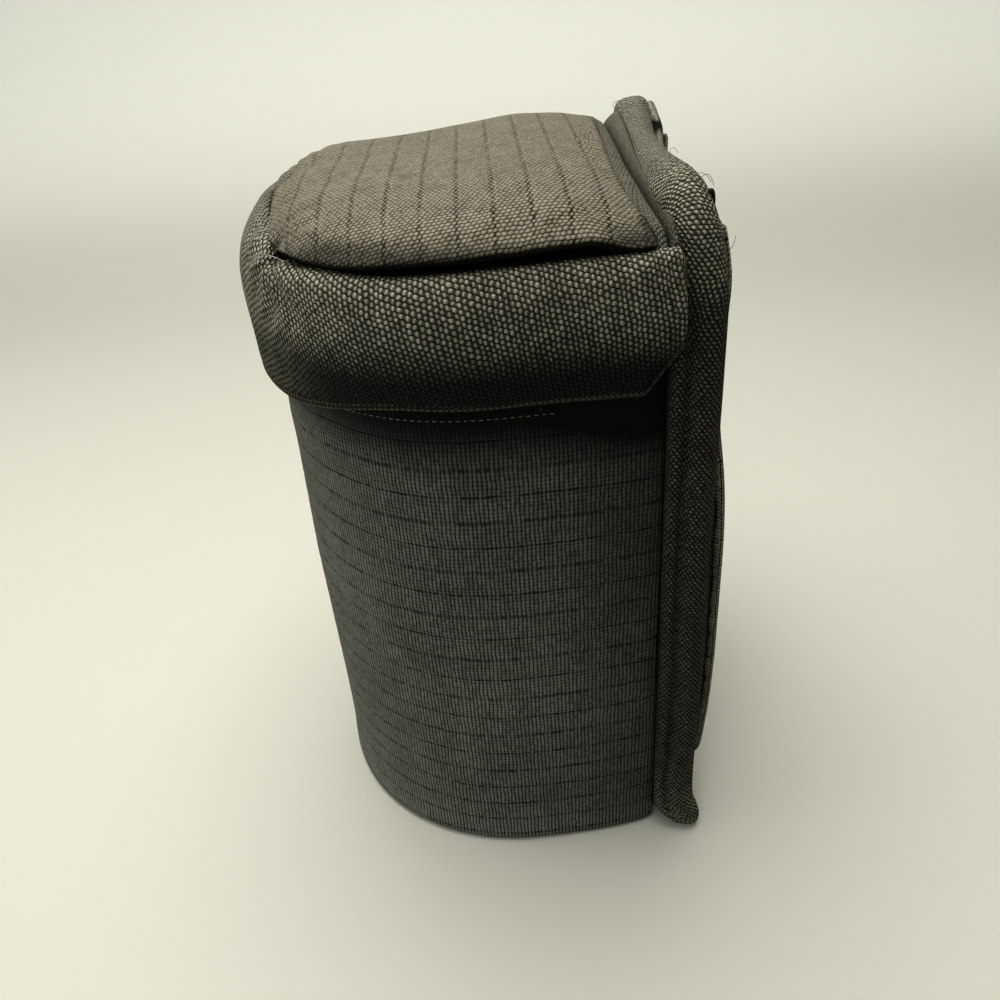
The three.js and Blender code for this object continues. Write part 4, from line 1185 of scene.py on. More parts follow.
# ---- hinge strip: two soft folds with a deep crease between them ------------------------------
nx_, ny_ = 150, 40
xs = np.linspace(-43.3, 43.3, nx_ + 1)
q = np.linspace(0, 1, ny_ + 1)
crease_y = curve([-44, -41, -30, 0, 15, 30, 38, 44], [32.6, 32.3, 31.6, 30.5, 30.35, 30.8, 31.5, 32.2], 2.0)
crease_z = curve([-44, -41, -30, -10, 0, 15, 30, 38, 44], [145.6, 146.5, 149.0, 149.6, 149.4, 148.7, 147.4, 146.1, 145.0], 2.0)
wall_y = lambda x_: deep(0.55, x_, 150.0 + 0 * x_)
yb, zb_ = back_y(xs), rear_z(xs)
ya, za = np.maximum(crease_y(xs), yb + 1.1), crease_z(xs)
yv = np.maximum(wall_y(xs), ya + 0.35)
zv = za + 1.3 + 0.45 * (yv - ya)
lift = smooth((43.3 - np.abs(xs)) / 3.6)
rows = [(yb - 1.6, zb_ - 1.6), (yb - 0.1, zb_ - 0.9), (yb + 0.35, zb_ + 0.05), (yb * 0.55 + ya * 0.45, zb_ * 0.55 + za * 0.45 + 0.55),
        (yb * 0.2 + ya * 0.8, zb_ * 0.2 + za * 0.8 + 0.4), (ya - 0.12, za - 0.4), (ya + 0.03, za - 2.3), (ya + 0.2, za - 0.35),
        (ya * 0.72 + yv * 0.28 + 0.1, za * 0.7 + zv * 0.3 + 0.35), (ya * 0.3 + yv * 0.7, za * 0.3 + zv * 0.7 + 0.35), (yv, zv - 0.1),
        (yv + 0.5, zv - 0.5), (yv + 1.3, zv - 1.4)]
cy_, cz2 = along(np.array([r_[0] for r_ in rows]), q), along(np.array([r_[1] for r_ in rows]), q)
XS = np.repeat(xs[None], ny_ + 1, 0)
QQ = np.repeat(q[:, None], nx_ + 1, 1)
bulk = smooth(QQ / 0.12) * smooth((0.9 - QQ) / 0.15)
cz2 = cz2 + bulk * (wave(XS / 6, QQ * 4, 61, 0.16) + wave(XS / 2.1, QQ * 7, 62, 0.07)) - (1 - lift) * 2.4
TOPG = np.stack([XS, cy_, cz2], -1)
b = Build()
strip_s = np.concatenate([[0], np.cumsum(np.hypot(np.diff(cy_[:, nx_ // 2]), np.diff(cz2[:, nx_ // 2])))])
uvs_ = np.stack([XS, np.repeat(strip_s[:, None], nx_ + 1, 1)], -1)
shell(b, TOPG, TOPG + np.array([0, 0.0, -0.55]), uvs_)
strip = b.object("hinge_strip", [tape_mat])
rows_q = np.concatenate([QQ.ravel(), QQ.ravel()])
mark(strip, "dust_and_painted_light", np.full(len(strip.data.vertices), 0.25))
# painted shade in the strip's deep crease, along its sewn edge and towards its back
mark(strip, "painted_shade", np.clip(np.exp(-(((rows_q - 0.5) / 0.085) ** 2)) + np.exp(-(((rows_q - 0.09) / 0.05) ** 2)) + 0.8 * smooth((rows_q - 0.86) / 0.08), 0, 1))
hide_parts("hinge_tape")
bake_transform(strip)

# ---- belt strap -----------------------------------------------------------------------------
def half_at(z_):
    h_ = STRAP_HALF_LOW + (STRAP_HALF_TOP - STRAP_HALF_LOW) * smooth((z_ - 110) / 30)
    r, d = 10.0, z_ - STRAP_LOW + 4.0
    return np.where(d < r, h_ - r + np.sqrt(np.maximum(r * r - (r - np.clip(d, 0, r)) ** 2, 0)), h_)


stand = curve([8, 13, 18, 25, 32, 45, 57, 78, 88, 97, 105, 115, 150],
              [2.3, 2.9, 3.4, 4.0, 4.5, 4.9, 4.9, 4.9, 4.5, 3.6, 2.3, 1.5, 1.4], 3.0)


def strap_out(x_, z_):
    """Y of the strap's outer face: close along the panel's top, bowed away below."""
    loose = 2.6 * smooth((z_ - 118) / 24) * smooth((-x_ - 14) / 24)
    return deep(9.45, x_, z_) + stand(z_) + loose + 0.25 * smooth((z_ - 90) / 20) * (x_ / 38) ** 2 * 0


zs = np.concatenate([STRAP_LOW - 4.0 + 10 * (1 - np.cos(np.linspace(0.12, math.pi / 2, 26))), np.linspace(STRAP_LOW + 6.8, 144.5, 116)])
nu_ = 68
u_ = np.linspace(-1, 1, nu_ + 1)
uedge = np.sign(u_) * (1 - (1 - np.abs(u_)) ** 1.25)
Xq = half_at(zs)[:, None] * uedge[None, :]
Zs = np.repeat(zs[:, None], nu_ + 1, 1)
rim = np.minimum((1 - np.abs(uedge))[None, :] * half_at(zs)[:, None], (Zs - STRAP_LOW + 4.0))
soft = (wave(Xq / 15, Zs / 20, 71, 0.18) + wave(Xq / 5, Zs / 6, 72, 0.05)) * np.clip(rim / 6, 0, 1) * smooth((Zs - 16) / 8)
welt = -0.34 * np.exp(-(((rim - 2.9) / 0.45) ** 2))
yo = strap_out(Xq, Zs)
# its border is turned in, so it is thick along the edge
room = np.clip(yo - deep(9.45, Xq, Zs) - 0.12, 0.8, 2.5)
full = 0.75 + (room - 0.75) * smooth((3.4 - rim) / 1.4)
half_t = full * 0.5
round_ = np.sqrt(np.clip(1 - (1 - np.clip(rim / np.maximum(half_t, 0.4), 0, 1)) ** 2, 0, 1))
mid_ = yo - half_t
b = Build()
A = np.stack([Xq, mid_ + half_t * round_ + welt + soft, Zs], -1)
B = np.stack([Xq, mid_ - half_t * round_ + soft * 0.5, Zs], -1)
across_ = np.cumsum(np.concatenate([np.zeros((len(zs), 1)), np.linalg.norm(np.diff(A[..., :2], axis=1), axis=-1)], 1), 1)
down_ = np.cumsum(np.concatenate([np.zeros((1, nu_ + 1)), np.linalg.norm(np.diff(A, axis=0), axis=-1)], 0), 0)
shell(b, A, B, np.stack([across_ - across_[:, nu_ // 2:nu_ // 2 + 1], down_ - down_[-1:] + 144.5], -1), UVB=np.stack([Xq, Zs], -1))
strap = b.object("belt_strap_cloth", [rip_back])
mark(strap, "dust_and_painted_light", (0.35 * np.concatenate([np.exp(-rim.ravel() / 1.2), 0 * rim.ravel()])))
# painted shade on the strap's inner face, which lies in the gap against the panel
mark(strap, "painted_shade", np.concatenate([0 * rim.ravel(), 0.25 + 0.65 * smooth((rim.ravel() - 1.2) / 1.8)]))
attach(strap, "belt_strap")
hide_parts("strap_outer")

# the strap's inner face is a soft black cloth, a little smaller than the strap
zs2 = np.concatenate([STRAP_LOW - 0.9 + 10 * (1 - np.cos(np.linspace(0.2, math.pi / 2, 20))), np.linspace(STRAP_LOW + 9.8, 144.3, 86)])
Xl = (half_at(zs2 - 2.0) - 3.1)[:, None] * uedge[None, :]
Zl = np.repeat(zs2[:, None], nu_ + 1, 1)
rim2 = np.minimum((1 - np.abs(uedge))[None, :] * half_at(zs2)[:, None], Zl - STRAP_LOW)
yl = strap_out(Xl, Zl) - 0.62
gap_ = np.maximum(yl - 0.32 - (deep(9.45, Xl, Zl) + 0.03), 0.05)
thick = np.minimum(0.62, gap_) * smooth(0.25 + rim2 / 1.2)
A = np.stack([Xl, yl - 0.30 + 0 * thick, Zl], -1)
B = np.stack([Xl, yl - 0.30 - thick - 0.05, Zl], -1)
b = Build()
shell(b, A, B, np.stack([Xl, Zl], -1))
strap_in = b.object("strap_lining_cloth", [black_mat])
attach(strap_in, "belt_strap")
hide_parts("strap_lining")

# folded top end, sewn to the panel: low in the middle, standing up at its two ends
fx = np.concatenate([np.linspace(-38.4, -34, 12)[:-1], np.linspace(-34, 34, 70), np.linspace(34, 38.4, 12)[1:]])
fold_top = curve([-40, -38, -31, -25, -18, -10, 0, 22, 30, 38, 40], [151.9, 151.8, 151.1, 149.2, 147.5, 146.9, 146.8, 147.4, 148.6, 151.2, 151.5], 1.5)
fold_in_y = lambda x_: deep(9.5, x_, 149.0 + 0 * x_) + 0.12 - 1.75 * smooth((-x_ - 24) / 12) - 1.9 * smooth((x_ - 30) / 7)
wide = curve([-40, -34, -28, -20, 0, 30, 38, 40], [3.2, 3.2, 2.5, 2.0, 1.9, 1.9, 1.7, 1.7], 1.6)
loop_pts = np.array([(0.0, -5.6), (0.02, -3.6), (0.02, -1.6), (0.22, -0.5), (0.5, -0.06), (0.75, -0.15), (0.95, -0.9), (1.0, -2.3), (1.0, -4.0), (0.98, -5.6)])
inner_pts = np.array([(0.17, -5.6), (0.19, -3.7), (0.20, -1.9), (0.32, -1.05), (0.5, -0.72), (0.64, -0.85), (0.76, -1.3), (0.8, -2.4), (0.8, -4.0), (0.8, -5.5)])
qf = np.linspace(0, 1, 40)
P_out, P_in = along(loop_pts, qf), along(inner_pts, qf)


def fold_grid(P):
    w_, y_, top_ = wide(fx)[None], fold_in_y(fx)[None], fold_top(fx)[None]
    yy_ = y_ + P[:, :1] * w_ + wave(np.repeat(fx[None] / 7, len(P), 0), P[:, 1:] / 3 + 0 * fx[None], 74, 0.10)
    # at the far end the outer leg is longer and stands away
    leg = smooth((-fx - 28) / 6)[None] * (P[:, :1] > 0.7)
    yy_ = yy_ + leg * 0.33 * np.maximum(-P[:, 1:] - 1.0, 0)
    zz2 = top_ + P[:, 1:] + wave(fx / 8, fx * 0, 73, 0.16)[None] - leg * 1.0 * np.maximum(-P[:, 1:] - 2.3, 0)
    return np.stack([np.repeat(fx[None], len(P), 0), yy_, zz2], -1)


GO, GI = fold_grid(P_out), fold_grid(P_in)
b = Build()
fs = np.concatenate([[0], np.cumsum(np.linalg.norm(np.diff(GO[:, 40], axis=0), axis=1))])
uvf = np.stack(np.broadcast_arrays(fx[None, :], fs[:, None]), -1)
shell(b, GO, GI, uvf, mat=0, mat_in=1)
fold = b.object("strap_fold_cloth", [rip_back, black_mat])
# painted shade: its two open ends are painted black below and inside, for the shade in the loop's ends and the black
# lining seen there; the top is mixed paler, painted light with some dust
cf = coords(fold) / MM
mark(fold, "painted_shade", 1.1 * np.clip(smooth((-cf[:, 0] - 20) / 4) * smooth((149.9 - cf[:, 2]) / 0.7) + smooth((cf[:, 0] - 36) / 1.2), 0, 1))
mark(fold, "dust_and_painted_light", 0.4 * smooth((cf[:, 2] - 145) / 4) * (1 - smooth((-cf[:, 0] - 20) / 4) * smooth((150.3 - cf[:, 2]) / 0.9)))
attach(fold, "pouch")
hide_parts("strap_fold")


# ---- lining, mouth edge, closure strips -------------------------------------------------------
def outward(o):
    """Turn all faces of a closed mesh outwards."""
    bm_ = bmesh.new()
    bm_.from_mesh(o.data)
    bmesh.ops.recalc_face_normals(bm_, faces=bm_.faces)
    bm_.to_mesh(o.data)
    bm_.free()


def soft_piece(o, body, node, dust_and_painted_light=0.0, painted_shade=0.0):
    outward(o)
    mark(o, "dust_and_painted_light", np.full(len(o.data.vertices), dust_and_painted_light))
    mark(o, "painted_shade", np.full(len(o.data.vertices), painted_shade))
    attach(o, body)
    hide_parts(node)


u_ = np.linspace(0, 1, 181)
z_ = np.linspace(5.75, WRAP_TOP - 0.05, 120)
UL, ZL = np.meshgrid(u_, z_)
SL = arc_mm(UL)
near_ends = smooth(UL / 0.04) * smooth((1 - UL) / 0.04) * smooth((ZL - 6) / 8) * smooth((136 - ZL) / 8)
slack = near_ends * np.maximum(0.55 + wave(SL / 17, ZL / 23, 81, 0.35) + wave(SL / 6, ZL / 11, 82, 0.14), 0.0)
pleat = near_ends * 0.22 * np.exp(-((np.abs(SL) - 33) / 7) ** 2) * (1 + np.sin(SL * 1.5 + ZL * 0.05))
b = Build()
xo, yo_ = plan_u(UL, L1 - 0.02 + neck(ZL))
xi_, yi_ = plan_u(UL, L0 + neck(ZL) - slack - pleat)
shell(b, np.stack([xo, yo_, ZL], -1), np.stack([xi_, yi_, ZL], -1), np.stack([SL, ZL], -1))
soft_piece(b.object("body_lining_cloth", [lining_cloth]), "pouch", "body_lining")

o_bl = flat_disc("base_lining_cloth", L0 - GAP, BACK_Y, 1.2, lambda x, y: 6.25 + wave(x / 13, y / 11, 83, 0.16) + wave(x / 5, y / 5, 84, 0.05),
                 lambda x, y: 5.62 + 0 * x, [lining_cloth])
soft_piece(o_bl, "pouch", "base_lining")

# mouth edge: a bias strip folded over the wall
um = np.linspace(0.004, 0.996, 300)
sm = arc_mm(um)
section = [(-0.32, 134.9), (-0.05, 134.6), (0.22, 134.9), (0.3, 136.2), (0.3, 137.9), (0.18, 139.2), (-0.45, 140.0), (-1.6, 140.32), (-3.6, 140.38),
           (-5.6, 140.32), (-6.75, 140.0), (-7.38, 139.2), (-7.52, 137.9), (-7.5, 136.2), (-7.42, 134.9), (-7.2, 134.6), (-6.95, 134.9),
           (-6.9, 136.2), (-6.85, 137.6), (-5.6, 137.93), (-3.6, 137.93), (-1.6, 137.93), (-0.5, 137.7), (-0.38, 136.2)]
RM = []
for k, (so_, sz_) in enumerate(section):
    out = k < 16
    r_ = wave(sm / 6, k / 3.0 + 0 * sm, 85, 0.10) + 0.07 * np.sin(sm * 2.6 + k * 0.35) if out else 0 * sm
    mx, my = plan_u(um, so_ + r_)
    RM.append(np.stack([mx, my, np.full_like(um, sz_) + (wave(sm / 9, 0 * sm, 86, 0.14) if out else 0)], -1))
RM = np.array(RM)
for col, other in ((0, 1), (-1, -2)):
    mid_c = RM[:, col].mean(0)
    RM[:, col] = mid_c + (RM[:, col] - mid_c) * np.array([0.96, 1.0, 0.96])
b = Build()
ids = b.add(RM).reshape(len(section), len(um))
sec_len = np.concatenate([[0], np.cumsum([math.hypot(section[k][0] - section[k - 1][0], section[k][1] - section[k - 1][1]) for k in range(1, len(section))])])
sec_len = np.append(sec_len, sec_len[-1] + 1.5)
b.link(closed_ring(ids), np.stack([np.stack([sm, np.full_like(um, v)], -1) for v in sec_len]))
mouth = b.object("mouth_binding_roll", [bind])
bm_ = bmesh.new()
bm_.from_mesh(mouth.data)
bmesh.ops.holes_fill(bm_, edges=[e for e in bm_.edges if e.is_boundary], sides=0)
bmesh.ops.triangulate(bm_, faces=[f for f in bm_.faces if len(f.verts) > 4])
bm_.to_mesh(mouth.data)
bm_.free()
# painted shade: the mouth's roll is darkened all over, as it lies under the lid
soft_piece(mouth, "pouch", "mouth_binding", dust_and_painted_light=0.12, painted_shade=0.3)

# lining of the lid's top and of its skirt
tt, tth = square_disc(80)
_, _, _, _, el, _, _ = lid_edge(tth)
xl_, yl_, zl_ = lid_surface(np.minimum(tt, 1) * 0.885, tth, 0.0, 4.0)
zl_ = np.maximum(np.minimum(zl_, 150.2), el - 3.2) - 0.08
inner_ = smooth((1 - tt) / 0.25)
b = Build()
A = np.stack([xl_, yl_, zl_], -1)
B = np.stack([xl_, yl_, zl_ - 0.5 - inner_ * np.maximum(0.35 + wave(xl_ / 14, yl_ / 12, 87, 0.28) + wave(xl_ / 5, yl_ / 5, 88, 0.08), 0)], -1)
shell(b, A, B, np.stack([xl_, yl_], -1))
soft_piece(b.object("lid_lining_cloth", [lining_cloth]), "lid", "lid_top_lining")

us2 = np.linspace(0.006, 0.994, 240)
w2 = np.linspace(0, 1, 26)
U2, W2 = np.meshgrid(us2, w2)
s2_ = arc_mm(U2, SKIRT_REAR)
f2_ = at_front(s2_)
z02 = hem_at(U2)
h2 = seam_up(np.abs(s2_)) - z02
lo2 = 2.5 / h2
Z2 = z02 + h2 * (lo2 + (0.82 * (1 - f2_) + 0.64 * f2_ - lo2) * W2)
calm2 = smooth(W2 / 0.15) * smooth((1 - W2) / 0.15) * smooth((np.minimum(U2, 1 - U2) - 0.006) / 0.03)
dent2 = calm2 * np.clip(0.10 + wave(s2_ / 11, Z2 / 9, 89, 0.12), 0, 0.3) * (1 - 0.6 * f2_)
b = Build()
# its upper border runs in under the top, so that the corner between the two is closed
so2, zs2 = seam_off(np.abs(s2_[0])), seam_up(np.abs(s2_[0]))
fr2 = f2_[0]
OA = np.concatenate([SKIRT_IN + 0.72 - 0.2 * f2_] + [(o_ * (1 - fr2) + (so2 + p_) * fr2)[None] for o_, p_ in ((1.35, 0.6), (-0.4, -0.3), (-2.4, -2.3), (-4.6, -4.6))])
OB = np.concatenate([SKIRT_IN + 0.1 - 0.2 * f2_ - dent2] + [(o_ * (1 - fr2) + (so2 + p_) * fr2)[None] for o_, p_ in ((0.95, 0.1), (-0.6, -0.6), (-2.5, -2.5), (-4.6, -4.6))])
ZA = np.concatenate([Z2] + [(zs2 + a_ * (1 - fr2) + c_ * fr2)[None] for a_, c_ in ((-3.3, -3.6), (-2.35, -2.9), (-2.0, -2.9), (-1.75, -3.2))])
ZB = np.concatenate([Z2] + [(zs2 + a_ * (1 - fr2) + c_ * fr2)[None] for a_, c_ in ((-3.75, -4.2), (-2.66, -3.3), (-2.32, -3.3), (-2.05, -3.6))])
U3 = np.concatenate([U2, np.repeat(U2[:1], 4, 0)])
xa, ya2 = plan_u(U3, OA, SKIRT_TAPER, SKIRT_REAR)
xb2, yb2 = plan_u(U3, OB, SKIRT_TAPER, SKIRT_REAR)
up_ = np.concatenate([np.zeros((1, 240)), np.cumsum(np.linalg.norm(np.diff(np.stack([xa, ya2, ZA], -1), axis=0), axis=-1), 0)])
shell(b, np.stack([xa, ya2, ZA], -1), np.stack([xb2, yb2, ZB], -1), np.stack([np.repeat(s2_[:1], 30, 0), up_], -1))
soft_piece(b.object("skirt_lining_cloth", [lining_cloth]), "lid", "skirt_lining")


def pile_slab(name, X, Z, ya_, yb_, mat):
    """A strip of hook or loop cloth between two surfaces, with softened edges."""
    n0, n1 = X.shape
    e0 = np.minimum(np.arange(n0), n0 - 1 - np.arange(n0))[:, None] / 1.0
    e1 = np.minimum(np.arange(n1), n1 - 1 - np.arange(n1))[None, :] / 1.0
    k = smooth(np.minimum(e0, e1) / 2.0)
    mid = (ya_ + yb_) / 2
    tuft = 0.06 * np.sin(X * 5.1 + 2 * np.sin(Z * 1.3)) * np.sin(Z * 4.7 + np.sin(X))
    b_ = Build()
    shell(b_, np.stack([X, mid + (ya_ - mid) * (0.45 + 0.55 * k) + tuft * k, Z], -1), np.stack([X, mid + (yb_ - mid) * (0.45 + 0.55 * k), Z], -1),
          np.stack([X, Z], -1))
    return b_.object(name, [mat])


def on_front(off_, half, z0, z1, nx2, nz2):
    """Grid on the rounded front between two heights: the plan's u and the height z."""
    us_ = np.linspace(0, 1, 3001)
    xs_, ys_ = plan_u(us_, off_)
    keep_ = np.nonzero(np.abs(arc_mm(us_)) < half)[0]
    uq = np.linspace(us_[keep_[0]], us_[keep_[-1]], nx2)
    Uq, Zq_ = np.meshgrid(uq, np.linspace(z0, z1, nz2))
    return Uq, Zq_


def front_slab(name, o0, o1, half, z0, z1, mat):
    Uq, Zq_ = on_front(0.0, half, z0, z1, 100, 30)
    e = np.minimum.outer(np.minimum(np.arange(30), 29 - np.arange(30)), np.minimum(np.arange(100), 99 - np.arange(100)))
    k = 0.45 + 0.55 * smooth(e / 2.0)
    mid = (o0 + o1) / 2
    rough_ = 0.05 * np.sin(arc_mm(Uq) * 5.3 + 2 * np.sin(Zq_ * 1.4)) * np.sin(Zq_ * 4.9)
    b_ = Build()
    x1, y1 = plan_u(Uq, mid + (o1 - mid) * k + rough_)
    x0_, y0_ = plan_u(Uq, mid + (o0 - mid) * k)
    shell(b_, np.stack([x1, y1, Zq_], -1), np.stack([x0_, y0_, Zq_], -1), np.stack([arc_mm(Uq), Zq_], -1))
    return b_.object(name, [mat])


soft_piece(front_slab("closure_loop_strip", -NECK - 0.02, -NECK + 0.75, 25.0, 119.2, 133.9, loop_mat), "pouch", "closure_loop")
soft_piece(front_slab("closure_hook_strip", -NECK + 1.15, -NECK + 1.95, 22.0, 121.2, 131.9, hook_mat), "lid", "closure_hook")

XC, ZC = np.meshgrid(np.linspace(-25, 25, 70), np.linspace(22.2, 51.8, 46))
crown_c = lambda X, Z: deep(8.3 + 0.75 * smooth((38.9 - np.abs(X)) / 9) * smooth((Z - 5) / 9), X, Z)
soft_piece(pile_slab("strap_catch_pad", XC, ZC, crown_c(XC, ZC) + 0.85, crown_c(XC, ZC) - 0.10, loop_mat), "pouch", "strap_catch")
XH, ZH = np.meshgrid(np.linspace(-23, 23, 66), np.linspace(23.2, 49.8, 42))
inner_face = strap_out(XH, ZH) - 0.62 - 0.30 - 0.62
soft_piece(pile_slab("strap_hook_pad", XH, ZH, inner_face + 0.04, crown_c(XH, ZH) + 1.10, hook_mat), "belt_strap", "strap_hook")


# ---- stitches and loose fibres ----------------------------------------------------------------
def capsules(name, mids, ways, lengths, dia, mat, body):
    """Short rounded lengths of thread."""
    rings_, seg = ((-0.5, 0.35), (-0.36, 1.0), (0.36, 1.0), (0.5, 0.35)), 6
    verts, faces = [], []
    for p, w, ln in zip(mids, ways, lengths):
        w = np.array(w, float) / np.linalg.norm(w)
        a = np.cross(w, (0.31, 0.72, 0.62))
        a /= np.linalg.norm(a)
        c = np.cross(w, a)
        n0 = len(verts)
        for f_, r_ in rings_:
            for q_ in range(seg):
                th_ = 2 * math.pi * q_ / seg
                verts.append((np.array(p) + w * ln * f_ + (a * math.cos(th_) + c * math.sin(th_)) * dia / 2 * r_) * MM)
        for k in range(3):
            for q_ in range(seg):
                q2 = (q_ + 1) % seg
                faces.append((n0 + k * seg + q_, n0 + k * seg + q2, n0 + (k + 1) * seg + q2, n0 + (k + 1) * seg + q_))
        faces.append(tuple(n0 + q_ for q_ in range(seg))[::-1])
        faces.append(tuple(n0 + 3 * seg + q_ for q_ in range(seg)))
    me_ = bpy.data.meshes.new(name)
    me_.from_pydata([tuple(v) for v in verts], [], faces)
    me_.polygons.foreach_set("use_smooth", [True] * len(faces))
    me_.materials.append(mat)
    ob = bpy.data.objects.new(name, me_)
    bpy.context.scene.collection.objects.link(ob)
    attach(ob, body)
    return ob


def hairs(name, lines, dia, mat, body):
    """Fine fibres standing off the cloth: smooth thin tubes through a few points."""
    verts, faces, seg = [], [], 5
    for pts in lines:
        P_ = along(np.array(pts, float), np.linspace(0, 1, 14))
        T_ = np.gradient(P_, axis=0)
        T_ /= np.linalg.norm(T_, axis=1, keepdims=True)
        n0 = len(verts)
        for k, (p, w) in enumerate(zip(P_, T_)):
            a = np.cross(w, (0.21, 0.35, 0.91))
            a /= np.linalg.norm(a)
            c = np.cross(w, a)
            r_ = dia / 2 * (1.0 if 0 < k < 13 else 0.4)
            for q_ in range(seg):
                th_ = 2 * math.pi * q_ / seg
                verts.append((p + (a * math.cos(th_) + c * math.sin(th_)) * r_) * MM)
        for k in range(13):
            for q_ in range(seg):
                q2 = (q_ + 1) % seg
                faces.append((n0 + k * seg + q_, n0 + k * seg + q2, n0 + (k + 1) * seg + q2, n0 + (k + 1) * seg + q_))
        faces.append(tuple(n0 + q_ for q_ in range(seg))[::-1])
        faces.append(tuple(n0 + 13 * seg + q_ for q_ in range(seg)))
    me_ = bpy.data.meshes.new(name)
    me_.from_pydata([tuple(v) for v in verts], [], faces)
    me_.polygons.foreach_set("use_smooth", [True] * len(faces))
    me_.materials.append(mat)
    ob = bpy.data.objects.new(name, me_)
    bpy.context.scene.collection.objects.link(ob)
    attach(ob, body)
    return ob


mids, ways = [], []
for sx in (-1, 1):
    for z0_ in np.arange(15, 136, 3.1):
        x0_ = sx * (PANEL_HALF - 0.62)
        mids.append((x0_, float(deep(2.78, np.array(x0_), np.array(z0_))), z0_))
        ways.append((0.06 * sx, 0.10, 1))
capsules("binding_stitches", mids, ways, [2.2] * len(mids), 0.34, thread_mat, "pouch")

mids, ways = [], []
for sx in (-1, 1):
    for z0_ in np.arange(26, 142, 3.0):
        x0_ = sx * (float(half_at(np.array(z0_))) - 2.9)
        mids.append((x0_, float(strap_out(np.array(x0_), np.array(z0_))) - 0.30, z0_))
        ways.append((0, 0, 1))
for x0_ in np.arange(-21, 21.1, 3.0):
    for z0_ in (STRAP_LOW + 0.4, 51.5):
        mids.append((x0_, float(strap_out(np.array(x0_), np.array(z0_))) - (0.30 if z0_ < 20 else 0.02), z0_))
        ways.append((1, 0, 0))
capsules("strap_stitches", mids, ways, [2.1] * len(mids), 0.34, thread_mat, "belt_strap")

mids, ways = [], []
for off_, zc in ((0.38, 135.9), (-7.56, 135.9)):
    uq = np.linspace(0.02, 0.98, 58 if off_ > 0 else 50)
    qx_, qy_ = plan_u(uq, off_)
    gx, gy = np.gradient(qx_), np.gradient(qy_)
    for k in range(len(uq)):
        mids.append((qx_[k], qy_[k], zc))
        ways.append((gx[k], gy[k], 0))
uq = np.linspace(0.355, 0.645, 19)
for zc in (120.3, 132.8):
    qx_, qy_ = plan_u(uq, -NECK + 0.72)
    gx, gy = np.gradient(qx_), np.gradient(qy_)
    for k in range(len(uq)):
        mids.append((qx_[k], qy_[k], zc))
        ways.append((gx[k], gy[k], 0))
capsules("mouth_stitches", mids, ways, [2.1] * len(mids), 0.34, thread_mat, "pouch")

HAIRS_POUCH = [
    [(-38.0, 36.2, 151.6), (-38.1, 35.4, 150.9), (-38.0, 34.9, 151.1), (-38.0, 35.0, 152.2)],
    [(-37.0, 36.4, 152.2), (-36.6, 35.6, 152.6), (-36.2, 35.2, 152.3), (-36.0, 34.8, 152.7)],
    [(36.0, 36.8, 152.0), (35.7, 37.4, 152.9), (36.0, 38.6, 152.7), (36.2, 39.6, 151.4)],
    [(34.5, 37.8, 151.6), (35.0, 38.9, 152.5), (35.8, 39.5, 152.2), (36.6, 39.9, 150.9)],
    [(9.0, 38.2, 150.0), (10.0, 38.4, 151.3), (10.4, 39.0, 151.5), (10.8, 39.6, 150.6)],
    [(43.2, 39.9, 141.2), (43.4, 41.1, 142.6), (43.2, 41.8, 143.4), (43.0, 42.1, 144.8)],
    [(43.4, 40.1, 104.0), (44.3, 40.7, 104.9), (44.5, 40.3, 105.9), (44.6, 39.9, 106.3)],
    [(43.6, 38.9, 78.0), (44.4, 39.3, 78.6), (44.5, 39.8, 79.5), (44.3, 40.2, 80.0)],
    [(30.0, 33.0, 149.2), (30.6, 32.0, 150.2), (31.6, 31.6, 150.1), (32.6, 31.9, 149.4)],
    [(-12.0, 32.4, 150.6), (-12.4, 31.4, 151.5), (-13.4, 30.8, 151.6), (-14.4, 30.7, 150.8)],
    [(3.0, 31.4, 150.4), (2.6, 30.6, 151.2), (1.6, 30.3, 151.3), (0.6, 30.6, 150.6)],
]
HAIRS_LID = [
    [(34.9, -35.2, 145.0), (34.8, -34.0, 145.7), (36.4, -31.8, 145.7), (38.7, -29.2, 145.2)],
    [(48.2, 6.4, 133.7), (48.9, 7.0, 134.5), (48.9, 7.7, 133.8), (48.4, 8.5, 133.2)],
    [(48.3, 7.4, 133.2), (48.8, 7.6, 134.1), (49.0, 8.2, 134.6), (48.4, 8.9, 134.5)],
]
# the row that holds the facing inside the mouth shows just below the skirt
mids, ways = [], []
uq = np.linspace(0.10, 0.90, 118)
zq_ = 116.5 + 0 * uq
qx_, qy_ = plan_u(uq, wrap_off(uq, zq_) + 0.02)
gx, gy = np.gradient(qx_), np.gradient(qy_)
for k in range(len(uq)):
    mids.append((qx_[k], qy_[k], zq_[k]))
    ways.append((gx[k], gy[k], 0.02 * (-1) ** k))
capsules("facing_stitches", mids, ways, [0.8] * len(mids), 0.18, dull_thread, "pouch")
hairs("loose_fibres_pouch", HAIRS_POUCH, 0.09, thread_mat, "pouch")
hairs("pale_fibres_lid", HAIRS_LID, 0.10, pale_thread, "lid")

# ---- carried-over solids --------------------------------------------------------------------
FINISH = {"body_foam": foam_mat, "base_foam": foam_mat, "back_foam": foam_mat, "back_board": board_mat}
for node, mat in FINISH.items():
    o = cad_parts[node]
    if not o.hide_render:
        o.data.materials.clear()
        o.data.materials.append(mat)

# ---- floor and light ------------------------------------------------------------------------
fm, ft, fp = new_material("floor")
ftc = ft.nodes.new("ShaderNodeTexCoord")
fsx = ft.nodes.new("ShaderNodeSeparateXYZ")
ft.links.new(ftc.outputs["Object"], fsx.inputs[0])
